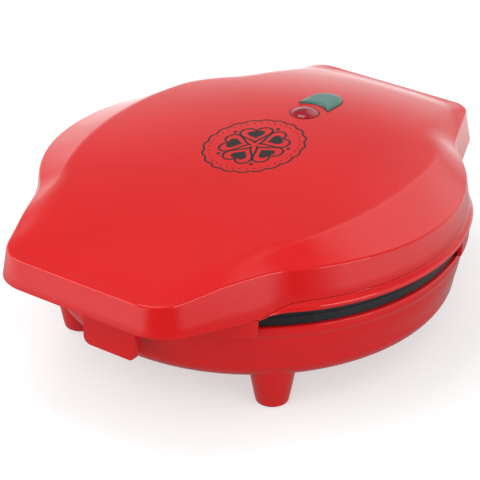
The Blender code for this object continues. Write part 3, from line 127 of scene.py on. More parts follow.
# Base, plates, hinge and clip
RIM_RADIUS = 0.1066
WALL_RADIUS = 0.1056
WALL_END_RADIUS = 0.1025
WALL_CURVE = 1.3
WALL_SHARES = (0.2, 0.4, 0.6, 0.8)
BOWL_TURN_RADIUS = 0.0110
FLOOR_RADII = (0.03, 0.06)
RIM_ROUND = 0.0008
RIM_BEAD = 0.0052
BEAD_BLEND = 0.0014
BEAD_SHARES = (0.0, 0.15, 0.3, 0.5, 0.7, 0.85)
PLATE_RADIUS = 0.1050
FRAME_HOLE_RADIUS = 0.0995
FOOT_X = 0.0594
FOOT_Y = 0.0664
FOOT_TOP_RADIUS = 0.0128
FOOT_END_RADIUS = 0.0081
FOOT_END_Z = 0.0009
FOOT_ROUND = 0.0007
FOOT_ROUND_END = -0.2
FOOT_HUB = 0.0005
FOOT_RING = 0.004
PAD_POCKET_RADIUS = 0.0072
HINGE_Y = 0.1180
LUG_X = 0.0330
LUG_THICKNESS = 0.0060
LUG_EYE_RADIUS = 0.0060
LUG_ARM_DEPTH = 0.0118
LUG_TOE = 0.0020
LUG_ARC_START = math.radians(-40.0)
CHEEK_EYE_RADIUS = 0.0055
CHEEK_START = 0.0035
PIN_REACH = 0.0075
CLIP_HALF_WIDTH = 0.0155
CLIP_THICKNESS = 0.0045
CLIP_LENGTH = 0.0377
CLIP_Y = 0.1135
CLIP_PIVOT_Z = 0.0675
CLIP_EYE_RADIUS = 0.0042
CLIP_CORNER_RADIUS = 0.0040
CLIP_SLOT_HALF_WIDTH = 0.0165
CLIP_TRAVEL = math.radians(25.0)
CLIP_BEVEL = 0.0006
CLIP_BEVEL_ANGLE = math.radians(50.0)
HOOK_HALF_WIDTH = 0.0085
HOOK_REACH = 0.0040
HOOK_HEIGHT = 0.0036
HOOK_FACE = 0.0014
CATCH_OVERLAP = 0.0013
CATCH_DROP = 0.0075
CATCH_THICKNESS = 0.0022
CATCH_FOOT = 0.0097
CATCH_ROOT = 0.0012
EAR_START = 0.0168
EAR_END = 0.0200
GLAND_Z = 0.0320
GLAND_BOSS_RADIUS = 0.0110
GLAND_FACE_Y = 0.1057
GLAND_BORE = 0.0073
GLAND_BORE_Y = 0.0915
BOSS_XY = 0.0495
SCREW_BORE = 0.0041
SCREW_BORE_DEPTH = 0.0040
FOOT_PLACES = [(x, y) for x in (-FOOT_X, FOOT_X) for y in (PLATE_Y - FOOT_Y, PLATE_Y + FOOT_Y)]
BOSS_PLACES = [(x, y) for x in (-BOSS_XY, BOSS_XY) for y in (PLATE_Y - BOSS_XY, PLATE_Y + BOSS_XY)]

# Lenses
POWER_LENS_Y = 0.0448
POWER_LENS_RADIUS = 0.0074
LENS_DOME = 0.0022
LENS_STEPS = 12
LENS_FLANGE = 0.0009
LENS_FLANGE_PROUD = 0.0004
LENS_GROOVE = 0.0001
LENS_GROOVE_START = 0.00015
LENS_GROOVE_END = 0.00035
LENS_ROUND = 0.0002
READY_LENS_GAP = 0.0042
READY_LENS_HALF_WIDTH = 0.0088
READY_LENS_SHOULDER = 0.0175
READY_LENS_LENGTH = 0.0279
READY_LENS_PROUD = 0.0012
READY_LENS_ROUND = 0.55
READY_LENS_UPRIGHT = 0.45
READY_LENS_STEPS = 5

# Printed emblem
EMBLEM_Y = 0.0010
EMBLEM_RADIUS = 0.0252
EMBLEM_NARROW = 0.95
EMBLEM_STRETCH = 1.15
EMBLEM_LIFT = 0.00006
SCALLOP_COUNT = 20
SCALLOP_STEPS = 12
SCALLOP_DEPTH = 0.045
SCALLOP_LOW = 0.955
SCALLOP_LINE = 0.00095
BEAD_COUNT = 40
BEAD_PLACE = 0.875
BEAD_RADIUS = 0.00042
HEART_COUNT = 5
HEART_UNITS = 30
HEART_TIP = 17
HEART_SIZE = 0.0150
HEART_START = 0.0022
HEART_LINE = 0.0011
INNER_HEART_SIZE = 0.0080
INNER_HEART_START = 0.0062
INNER_HEART_MIDDLE = 0.0108
DOT_PLACE = 0.0178
DOT_RADIUS = 0.0010

# Surfaces
COAT_ROUGHNESS = 0.06
NOISE_LOW = 0.35
NOISE_HIGH = 0.65
SPECK_RANGE = (0.06, 0.16)
SPECK_GAIN = 3.0
SPECK_LIFT = 0.02

# Studio
FLOOR_SIZE = 8.0
FLOOR_ROUGHNESS = 0.9
FLOOR_TINT = (1.0, 0.96, 0.96)
# The floor as the glossy red mirrors it: a glow, dimmed near the object as a painted shadow and towards the
# front right as painted shade
FLOOR_PAINTED_SHADE_SPREAD = (0.72, 0.96)
FLOOR_PAINTED_SHADOW_REACH = (0.15, 0.34)
FLOOR_COLOR = (0.50, 0.55, 0.55)
FLOOR_GLOW = 0.54
FLOOR_REFLECTED = 1.25
FLOOR_MIRRORED_PAINTED_SHADE = 0.12
FLOOR_MIRRORED_PAINTED_SHADOW = 0.32
FILL_SIDE = (-0.64, -0.74, 0.20)
FILL_LOW = 0.40
FILL_HIGH = 1.35
RIGHT_SIDE = (0.97, -0.10, 0.22)
RIGHT_FILL = 0.75
HORIZON_MIRRORED = 1.10
OVERHEAD_MIRRORED = 0.30
DARK_SIDE = (0.60, -0.80, 0.10)
BACK_SIDE = (0.05, 0.76, 0.65)
BACK_MIRRORED = 1.0
FILL_RANGE = (-0.2, 1.0)
RIGHT_RANGE = (0.1, 1.0)
SKY_RANGE = (0.05, 0.66)
DARK_RANGE = (0.72, 0.95)
DARK_MIRRORED = 0.08
BACK_RANGE = (0.87, 0.985)
LIGHTS = (("overhead_softbox", (-0.35, -0.05, 1.40), (0, 0, 0.05), (0.7, 0.7), 3.6),
          ("front_softbox", (-1.15, -1.15, 0.60), (0, 0, 0.05), (1.0, 0.7), 4.6),
          ("right_strip", (1.10, -0.15, 0.42), (0, 0, 0.06), (0.55, 0.16), 1.6))
CAMERA_PLACE = (0.57955, -0.80289, 0.58295)
CAMERA_PITCH = math.radians(61.29)
CAMERA_TURN = math.radians(36.07)
CAMERA_LENS = 167.9
CAMERA_SENSOR = 36.0
CAMERA_NEAR = 0.01

# Steps of the meshes, and the angles in degrees above which their edges stay sharp
ANGLE_COUNT = 480
CORNER_STEPS = 24
CIRCLE_STEPS = 120
BOWL_STEPS = 240
ROUND_STEPS = 64
EYE_STEPS = 28
EDGE_STEPS = 9
EVENING_STEPS = 9
CREASE_STEPS = 13
SHARP = 35.0
PART_SHARP = 38.0
COVER_SHARP = 40.0
PANEL_SHARES = (0.02, 0.08, *np.linspace(0.14, 0.90, 20), *np.linspace(0.93, 1.0, 5)[:-1])
SHOULDER_SHARES = (0.0, 0.05, 0.11, 0.18, 0.26, 0.35, 0.45, 0.55, 0.65, 0.75, 0.84, 0.92, 1.0)
INNER_SHOULDER_SHARES = (1.0, 0.66, 0.33)
INNER_PANEL_SHARES = (1.0, 0.9, 0.8, 0.55, 0.3)

# Small lengths and factors of the calculation
TINY = 0.000001
SLOPE_PROBE = 0.0006
GROWTH_PROBE = 0.001
FIRST_SLOPE = 0.2
SLOPE_ROUNDS = 4
FULL_TURN = 2 * math.pi


def arc(centre, radius, start, end, count):
    """Points on an arc, both ends included."""
    return [(centre[0] + radius * math.cos(start + (end - start) * i / count),
             centre[1] + radius * math.sin(start + (end - start) * i / count))
            for i in range(count + 1)]


def end_outline(reach, half_width, splay, corner_radius, grow):
    """One straight end of the lid, from the middle of its edge round to the circle."""
    along = Vector((math.sin(splay), -math.cos(splay)))
    outward = Vector((math.cos(splay), math.sin(splay)))
    corner = Vector((half_width, reach))
    side = corner + outward * grow
    corner_x = (side - along * ((reach + grow - side.y) / -along.y)).x
    radius = corner_radius + grow
    centre = (corner_x - radius * math.tan((math.pi / 2 - splay) / 2), reach + grow - radius)
    start = corner + outward * BLEND_RADIUS
    half_b = start.dot(along)
    gap = start.dot(start) - (LID_RADIUS + BLEND_RADIUS) ** 2
    blend = start - along * (half_b + math.sqrt(half_b * half_b - gap))
    circle_side = math.atan2(blend.y, blend.x) + math.pi
    return ([(0.0, reach + grow)] + arc(centre, radius, math.pi / 2, splay, CORNER_STEPS)
            + arc(blend, BLEND_RADIUS - grow, splay + math.pi, circle_side, CORNER_STEPS))


def lid_outline(grow):
    """Half of the lid's plan outline, from the front round the +X side to the rear."""
    front = end_outline(FRONT_REACH, HANDLE_HALF_WIDTH, FRONT_SPLAY, FRONT_CORNER_RADIUS, grow)
    rear = end_outline(REAR_REACH, REAR_HALF_WIDTH, REAR_SPLAY, REAR_CORNER_RADIUS, grow)
    front = [(x, -y) for x, y in front]
    start = math.atan2(front[-1][1], front[-1][0])
    end = math.atan2(rear[-1][1], rear[-1][0])
    return front + arc((0, 0), LID_RADIUS + grow, start, end, CIRCLE_STEPS)[1:-1] + rear[::-1]


def folded(angles):
    """The same angles on the +X half."""
    return np.minimum(angles, FULL_TURN - angles)


def lid_radii(angles, grow):
    """The lid's radius at each angle, where a ray from the middle meets the outline."""
    outline = np.array(lid_outline(grow))
    fold = folded(angles)
    found = np.searchsorted(np.arctan2(outline[:, 0], -outline[:, 1]), fold) - 1
    found = np.clip(found, 0, len(outline) - 2)
    start, run = outline[found], outline[found + 1] - outline[found]
    dx, dy = np.sin(fold), -np.cos(fold)
    return (start[:, 0] * run[:, 1] - start[:, 1] * run[:, 0]) / (dx * run[:, 1] - dy * run[:, 0])


def smooth_step(values, low, high):
    """0 below low, 1 above high and a smooth ramp between."""
    share = np.clip((values - low) / (high - low), 0.0, 1.0)
    return share * share * (3 - 2 * share)


def arch(y, apex, front_power, rear_power, rise):
    """Height of a lengthwise arch over the lid's edge."""
    front = np.clip((apex - y) / (apex + FRONT_REACH), 0.0, 1.0) ** front_power
    rear = np.clip((y - apex) / (REAR_REACH - apex), 0.0, 1.0) ** rear_power
    return rise * (1 - front - rear)


def lid_top(x, y):
    """Height of the crowned panel over a point, measured from the middle of the plates."""
    x, y = np.asarray(x, float), np.asarray(y, float)
    middle = arch(y, APEX_Y, CROWN_FRONT_POWER, CROWN_REAR_POWER, CROWN_RISE)
    side = arch(y, CREASE_APEX_Y, CREASE_POWER, CREASE_POWER, CREASE_RISE)
    half = CREASE_HALF_WIDTH - CREASE_ARC_RADIUS + np.sqrt(CREASE_ARC_RADIUS ** 2 - (y - CREASE_APEX_Y) ** 2)
    share = np.minimum(np.abs(x) / half, 1.0)
    return EDGE_Z + side + (middle - side) * (1 - share * share)


def on_crown(x, y, lift):
    """A point of the model, lifted off the crowned panel by a little."""
    return (x, y + PLATE_Y, float(lid_top(x, y)) + lift)


def along_wall(angles, table, reach):
    """A height from a table by angle, evened out over a reach in degrees to each side."""
    turns, heights = zip(*table)
    fold = np.degrees(folded(angles))
    steps = np.linspace(-reach, reach, EVENING_STEPS)
    return sum(np.interp(np.abs(fold + step), turns, heights) for step in steps) / len(steps)


def edge_heights(angles):
    """Height of the lid's top edge, before it is rounded over."""
    return EDGE_Z + along_wall(angles, EDGE_RISES, EDGE_EVENING)


def crease_radii(angles, edge):
    """Radius of the crease between the crowned panel and the sloping shoulder."""
    dx, dy = np.sin(folded(angles)), -np.cos(folded(angles))
    centre = CREASE_HALF_WIDTH - CREASE_ARC_RADIUS
    half_b = dx * centre + dy * CREASE_APEX_Y
    gap = centre ** 2 + CREASE_APEX_Y ** 2 - CREASE_ARC_RADIUS ** 2
    on_arc = np.minimum(half_b + np.sqrt(half_b * half_b - gap), edge)
    return edge + (on_arc - edge) * smooth_step(folded(angles), *CREASE_MERGE)


def top_heights(radii, angles, crease, edge):
    """Height of the lid's top at a radius for each angle: panel, then shoulder, still with a hard crease."""
    rim = edge_heights(angles)

    def panel(at):
        near = 1 - np.clip((edge - at) / EDGE_SETTLE, 0.0, 1.0)
        crown = lid_top(at * np.sin(angles), -at * np.cos(angles))
        return rim + (crown - rim) * (1 - near * near)
    share = np.clip((radii - crease) / np.maximum(edge - crease, TINY), 0.0, 1.0)
    shoulder = rim + (panel(crease) - rim) * (1 - share) ** SHOULDER_POWER
    return np.where(radii <= crease, panel(radii), shoulder)


def soft_heights(radii, angles, crease, edge):
    """The same heights with the crease rounded over, as a moulding has it."""
    reach = np.minimum(CREASE_SOFTNESS, edge - radii)
    total, weight = 0.0, 0.0
    for step in np.linspace(-1, 1, CREASE_STEPS):
        share = CREASE_TAPER - abs(step)
        total = total + share * top_heights(radii + step * reach, angles, crease, edge)
        weight += share
    return total / weight


def side_rise(angles):
    """Share of the lip's flare at each angle: none at the handle and the hinge, all of it at the sides."""
    return smooth_step(folded(angles), *LIP_START) * (1 - smooth_step(folded(angles), *LIP_END))


def skirt_heights(angles):
    """Height of the lid cover's lower edge."""
    return along_wall(angles, SKIRT_LEVELS, SKIRT_EVENING)


def ring(radii, angles, heights):
    """A ring of points round the middle of the plates."""
    heights = np.broadcast_to(heights, angles.shape)
    return np.stack([radii * np.sin(angles), PLATE_Y - radii * np.cos(angles), heights], axis=1)


def link(name, mesh):
    """A new object in the scene."""
    made = bpy.data.objects.new(name, mesh)
    bpy.context.scene.collection.objects.link(made)
    return made


def mesh_from(bm, name, sharp=SHARP):
    """A smooth-shaded mesh with outward faces and sharp edges above an angle in degrees."""
    bmesh.ops.recalc_face_normals(bm, faces=bm.faces)
    made = bpy.data.meshes.new(name)
    bm.to_mesh(made)
    bm.free()
    made.shade_smooth()
    made.set_sharp_from_angle(angle=math.radians(sharp))
    return made


def skin(bm, rows):
    """Faces between closed rows of as many vertices each."""
    count = len(rows[0])
    for upper, lower in zip(rows, rows[1:]):
        for i in range(count):
            j = (i + 1) % count
            bm.faces.new((upper[i], lower[i], lower[j], upper[j]))


def loft(name, rings, first=None, last=None, sharp=SHARP):
    """A closed body through rings of as many points each, ended at two poles or joined round."""
    bm = bmesh.new()
    rows = [[bm.verts.new(point) for point in one] for one in rings]
    count = len(rows[0])
    if first is None:
        rows.append(rows[0])
    skin(bm, rows)
    if first is not None:
        top, floor = bm.verts.new(first), bm.verts.new(last)
        for i in range(count):
            j = (i + 1) % count
            bm.faces.new((top, rows[0][i], rows[0][j]))
            bm.faces.new((floor, rows[-1][j], rows[-1][i]))
    return link(name, mesh_from(bm, name, sharp))


def add_cone(bm, low_radius, high_radius, low, high, centre=(0, 0), steps=48, along="Z"):
    """A cone or cylinder added to a bmesh. Its centre is (x, y), (x, z) along Y or (y, z) along X."""
    made = bmesh.ops.create_cone(bm, cap_ends=True, segments=steps, radius1=low_radius,
                                 radius2=high_radius, depth=high - low)
    middle = (low + high) / 2
    if along == "Z":
        turn = Matrix.Translation((centre[0], centre[1], middle))
    elif along == "Y":
        turn = Matrix.Translation((centre[0], middle, centre[1])) @ Matrix.Rotation(-math.pi / 2, 4, "X")
    else:
        turn = Matrix.Translation((middle, centre[0], centre[1])) @ Matrix.Rotation(math.pi / 2, 4, "Y")
    bmesh.ops.transform(bm, matrix=turn, verts=made["verts"])


def add_box(bm, low, high):
    """A box between two corners added to a bmesh."""
    made = bmesh.ops.create_cube(bm, size=1.0)
    size = [b - a for a, b in zip(low, high)]
    middle = [(a + b) / 2 for a, b in zip(low, high)]
    bmesh.ops.transform(bm, matrix=Matrix.Translation(middle) @ Matrix.Diagonal((*size, 1.0)),
                        verts=made["verts"])


def add_prism(bm, outline, low, high, along="Z"):
    """A flat outline pushed from low to high, added to a bmesh: (x, y), (x, z) along Y or (y, z) along X."""
    def spot(point, height):
        if along == "X":
            return (height, *point)
        return (point[0], height, point[1]) if along == "Y" else (*point, height)
    rings = [[bm.verts.new(spot(point, height)) for point in outline] for height in (low, high)]
    for one in rings:
        for triangle in tessellate_polygon([[Vector((*point, 0)) for point in outline]]):
            bm.faces.new([one[corner] for corner in triangle])
    for corner in range(len(outline)):
        after = (corner + 1) % len(outline)
        bm.faces.new((rings[0][corner], rings[0][after], rings[1][after], rings[1][corner]))


def settle(piece, sharp=PART_SHARP):
    """Apply a piece's modifiers and set its sharp edges again."""
    graph = bpy.context.evaluated_depsgraph_get()
    mesh = bpy.data.meshes.new_from_object(piece.evaluated_get(graph))
    cutters = [m.object for m in piece.modifiers if m.type == "BOOLEAN"]
    piece.modifiers.clear()
    piece.data = mesh
    for cutter in cutters:
        bpy.data.objects.remove(cutter)
    mesh.shade_smooth()
    mesh.set_sharp_from_angle(angle=math.radians(sharp))
    return piece


def boolean(piece, bm, operation):
    """Cut a piece with a bmesh, or join the bmesh to it."""
    other = link(piece.name + "_" + operation.lower(), mesh_from(bm, "cutter"))
    cut = piece.modifiers.new(operation.title(), "BOOLEAN")
    cut.operation = operation
    cut.object = other


def turned_rings(profile, steps, centre=(0.0, PLATE_Y)):
    """Rings of a turned shape about a vertical line through a centre."""
    turns = np.arange(steps) * FULL_TURN / steps
    return [np.stack([centre[0] + r * np.sin(turns), centre[1] - r * np.cos(turns),
                      np.full(steps, z)], axis=1) for r, z in profile]


def grown(outline, distance):
    """A closed outline moved outward by a distance."""
    count = len(outline)
    moved = []
    for i in range(count):
        before, here, after = (Vector(outline[j % count]) for j in (i - 1, i, i + 1))
        first, second = (here - before).normalized(), (after - here).normalized()
        normal = Vector((first.y + second.y, -first.x - second.x)).normalized()
        stretch = 1 / max(normal.dot(Vector((first.y, -first.x))), math.sqrt(0.5))
        moved.append(tuple(here + normal * distance * stretch))
    return moved


def ready_lens_outline():
    """The ready lens from above: an arch whose front side is hollow, round the power lens."""
    inner = POWER_LENS_RADIUS + READY_LENS_GAP
    turn = math.acos(READY_LENS_HALF_WIDTH / inner)
    front = arc((0, POWER_LENS_Y), inner, math.pi - turn, turn, 20)
    height = READY_LENS_LENGTH - READY_LENS_SHOULDER
    back = [(READY_LENS_HALF_WIDTH * x, POWER_LENS_Y + READY_LENS_SHOULDER + height * y)
            for x, y in arc((0, 0), 1, 0, math.pi, 28)]
    return front + back


# Node helpers and materials

def new_material(name):
    """An empty node material with its Principled shader."""
    made = bpy.data.materials.new(name)
    made.use_nodes = True
    return made, made.node_tree.nodes, made.node_tree.links, made.node_tree.nodes["Principled BSDF"]


def noise_node(nodes, links, scale, detail=4.0, roughness=0.55):
    """A noise texture on object coordinates."""
    place = nodes.new("ShaderNodeTexCoord")
    made = nodes.new("ShaderNodeTexNoise")
    made.inputs["Scale"].default_value = scale
    made.inputs["Detail"].default_value = detail
    made.inputs["Roughness"].default_value = roughness
    links.new(place.outputs["Object"], made.inputs["Vector"])
    return made


def spread(nodes, links, source, low, high, start=NOISE_LOW, end=NOISE_HIGH):
    """Map a noise value to a range."""
    made = nodes.new("ShaderNodeMapRange")
    made.inputs["From Min"].default_value = start
    made.inputs["From Max"].default_value = end
    made.inputs["To Min"].default_value = low
    made.inputs["To Max"].default_value = high
    links.new(source, made.inputs["Value"])
    return made.outputs["Result"]


def surface(name, light, dark, gloss, grain, cloud=18.0, metallic=0.0, coat=0.0, bump=0.00002, strength=0.2,
            speck=0.0):
    """A finished surface: clouded colour, uneven gloss and fine relief.

    gloss is the least and the greatest roughness, and grain the scale of the relief.
    """
    made, nodes, links, shader = new_material(name)
    shader.inputs["Metallic"].default_value = metallic
    shader.inputs["Coat Weight"].default_value = coat
    shader.inputs["Coat Roughness"].default_value = COAT_ROUGHNESS
    clouds = noise_node(nodes, links, cloud)
    ramp = nodes.new("ShaderNodeValToRGB")
    ramp.color_ramp.elements[0].position = NOISE_LOW
    ramp.color_ramp.elements[0].color = (*dark, 1.0)
    ramp.color_ramp.elements[1].position = NOISE_HIGH
    ramp.color_ramp.elements[1].color = (*light, 1.0)
    links.new(clouds.outputs["Fac"], ramp.inputs["Fac"])
    color = ramp.outputs["Color"]
    if speck:
        dots = nodes.new("ShaderNodeTexVoronoi")
        dots.inputs["Scale"].default_value = speck
        place = nodes.new("ShaderNodeTexCoord")
        links.new(place.outputs["Object"], dots.inputs["Vector"])
        fleck = spread(nodes, links, dots.outputs["Distance"], 1.0, 0.0, *SPECK_RANGE)
        mix = nodes.new("ShaderNodeMix")
        mix.data_type = "RGBA"
        mix.inputs["B"].default_value = (*[min(1.0, c * SPECK_GAIN + SPECK_LIFT) for c in light], 1.0)
        links.new(fleck, mix.inputs["Factor"])
        links.new(color, mix.inputs["A"])
        color = mix.outputs["Result"]
    links.new(color, shader.inputs["Base Color"])
    patches = noise_node(nodes, links, cloud * 5.0, 6.0)
    links.new(spread(nodes, links, patches.outputs["Fac"], *gloss), shader.inputs["Roughness"])
    relief = noise_node(nodes, links, grain, 3.0)
    bumps = nodes.new("ShaderNodeBump")
    bumps.inputs["Strength"].default_value = strength
    bumps.inputs["Distance"].default_value = bump
    links.new(relief.outputs["Fac"], bumps.inputs["Height"])
    links.new(bumps.outputs["Normal"], shader.inputs["Normal"])
    return made


def lens_material(name, light, dark, weight, gloss):
    """Tinted, slightly translucent plastic with an uneven colour and a fine moulded grain."""
    made = surface(name, light, dark, gloss, 900.0, 60.0, 0.0, 0.3, 0.00003, 0.15)
    shader = made.node_tree.nodes["Principled BSDF"]
    shader.inputs["Transmission Weight"].default_value = weight
    shader.inputs["IOR"].default_value = 1.49
    return made


RED = surface("red_gloss", (0.68, 0.0095, 0.0110), (0.64, 0.0082, 0.0095), (0.05, 0.08), 650.0,
              14.0, bump=0.00001, strength=0.05)
COATING = surface("plate_coating", (0.016, 0.016, 0.019), (0.009, 0.009, 0.012), (0.26, 0.42), 1800.0,
                  30.0, bump=0.00004, strength=0.35, speck=900.0)
STEEL = surface("steel", (0.66, 0.66, 0.65), (0.52, 0.52, 0.51), (0.22, 0.36), 1500.0, 60.0, 1.0)
TIN = surface("tin_plate", (0.60, 0.60, 0.60), (0.45, 0.45, 0.46), (0.30, 0.46), 260.0, 25.0, 1.0,
              bump=0.00005, strength=0.3)
SHEATH = surface("heater_sheath", (0.30, 0.28, 0.26), (0.16, 0.15, 0.15), (0.35, 0.55), 900.0, 45.0, 0.9)
RUBBER = surface("pale_rubber", (0.74, 0.72, 0.68), (0.62, 0.60, 0.57), (0.60, 0.78), 1200.0, 50.0,
                 bump=0.00006, strength=0.4)
DARK = surface("dark_plastic", (0.032, 0.032, 0.034), (0.018, 0.018, 0.019), (0.38, 0.55), 1000.0, 40.0,
               bump=0.00005, strength=0.35)
CERAMIC = surface("pale_ceramic", (0.78, 0.75, 0.69), (0.66, 0.63, 0.58), (0.30, 0.50), 700.0, 30.0,
                  bump=0.00004, strength=0.3)
RED_LENS = lens_material("red_lens", (0.46, 0.004, 0.026), (0.30, 0.002, 0.014), 0.20, (0.05, 0.10))
GREEN_LENS = lens_material("green_lens", (0.060, 0.230, 0.190), (0.035, 0.160, 0.135), 0.25, (0.18, 0.28))
GLASS = lens_material("lamp_glass", (0.92, 0.88, 0.82), (0.85, 0.80, 0.74), 0.9, (0.03, 0.08))
INK = surface("black_print", (0.006, 0.004, 0.004), (0.003, 0.002, 0.002), (0.40, 0.55), 2500.0, 80.0,
              bump=0.00001, strength=0.2)

NODE_FINISH = {
    "foot_pad": RUBBER, "lower_plate": COATING, "upper_plate": COATING, "lower_heater": SHEATH,
    "upper_heater": SHEATH, "lower_reflector": TIN, "upper_reflector": TIN, "base_screw": STEEL,
    "upper_screw": STEEL, "cover_screw": STEEL, "thermostat": DARK, "thermal_fuse": TIN,
    "terminal_block": CERAMIC, "cord_gland": DARK, "hinge_pin": STEEL, "latch_pin": STEEL,
    "lamp_holder": DARK, "power_lamp": GLASS, "ready_lamp": GLASS,
}


def finish_nodes():
    """Give every carried-over node its material."""
    for name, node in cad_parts.items():
        for start, finish in NODE_FINISH.items():
            if name.startswith(start):
                for slot in node.material_slots:
                    slot.material = finish


def dress(piece, finish, body, slot, *nodes):
    """Material, body and replaced nodes of a new piece; the material slot argument is not used."""
    piece.data.materials.clear()
    piece.data.materials.append(finish)
    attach(piece, body)
    if nodes:
        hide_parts(*nodes)
    return piece


# Lid

def make_lid_cover():
    """The glossy cover: crowned panel, soft creases, shoulders, rounded edge and drafted wall."""
    angles = np.arange(ANGLE_COUNT) * FULL_TURN / ANGLE_COUNT
    centre = lid_radii(angles, -EDGE_ROUND)
    slope = np.full_like(angles, FIRST_SLOPE)
    for _ in range(SLOPE_ROUNDS):
        edge = centre + EDGE_ROUND * np.sin(slope)
        crease = crease_radii(angles, edge)
        inside = edge - SLOPE_PROBE
        drop = top_heights(inside, angles, crease, edge) - top_heights(edge, angles, crease, edge)
        slope = np.arctan2(drop, SLOPE_PROBE)
    centre_z = edge_heights(angles) - EDGE_ROUND * np.cos(slope)
    rings = []
    for radii in ([crease * share for share in PANEL_SHARES]
                  + [crease + (edge - crease) * share for share in SHOULDER_SHARES]):
        rings.append(ring(radii, angles, soft_heights(radii, angles, crease, edge)))
    for step in range(1, EDGE_STEPS + 1):
        turn = slope + (math.pi / 2 - WALL_DRAFT - slope) * step / EDGE_STEPS
        wall_top, wall_top_z = centre + EDGE_ROUND * np.sin(turn), centre_z + EDGE_ROUND * np.cos(turn)
        rings.append(ring(wall_top, angles, wall_top_z))
    skirt = skirt_heights(angles)
    growth = (WALL_TOP_Z - skirt) * math.tan(WALL_DRAFT)
    skirt_radii = radii_at(angles, growth)
    for share in (0.33, 0.66):
        rings.append(ring(wall_top + (skirt_radii - wall_top) * share, angles,
                          wall_top_z + (skirt - wall_top_z) * share))
    near_foot = SKIRT_ROUND * SKIRT_ROUND_SHARE
    rings.append(ring(skirt_radii - SKIRT_ROUND * math.tan(WALL_DRAFT), angles, skirt + SKIRT_ROUND))
    rings.append(ring(skirt_radii - near_foot, angles, skirt + near_foot))
    rings.append(ring(skirt_radii - SKIRT_ROUND, angles, skirt))
    inset = SHELL_WALL / math.cos(WALL_DRAFT)
    rings.append(ring(radii_at(angles, growth - inset), angles, skirt))
    inner_edge = lid_radii(angles, -inset)
    inner_crease = np.minimum(crease, inner_edge - SHELL_WALL / 4)
    for radii in ([inner_crease + (inner_edge - inner_crease) * share for share in INNER_SHOULDER_SHARES]
                  + [inner_crease * share for share in INNER_PANEL_SHARES]):
        rings.append(ring(radii, angles, top_heights(radii, angles, inner_crease, inner_edge) - SHELL_WALL))
    top = float(lid_top(0, 0))
    cover = loft("cover_shell", rings, (0, PLATE_Y, top), (0, PLATE_Y, top - SHELL_WALL), COVER_SHARP)
    through = EDGE_Z + CROWN_RISE + SHELL_WALL
    bm = bmesh.new()
    hole = POWER_LENS_RADIUS + SEAT_GAP
    add_cone(bm, hole, hole, EDGE_Z, through, (0, PLATE_Y + POWER_LENS_Y), ROUND_STEPS)
    outline = [(x, y + PLATE_Y) for x, y in grown(ready_lens_outline(), SEAT_GAP)]
    add_prism(bm, outline, EDGE_Z, through)
    boolean(cover, bm, "DIFFERENCE")
    return dress(settle(cover, COVER_SHARP), RED, "lid", "red_shell", "lid_cover")


def radii_at(angles, growth):
    """The lid's radius at each angle for a growth of its own."""
    base, more = lid_radii(angles, 0.0), lid_radii(angles, GROWTH_PROBE)
    return base + (more - base) * growth / GROWTH_PROBE


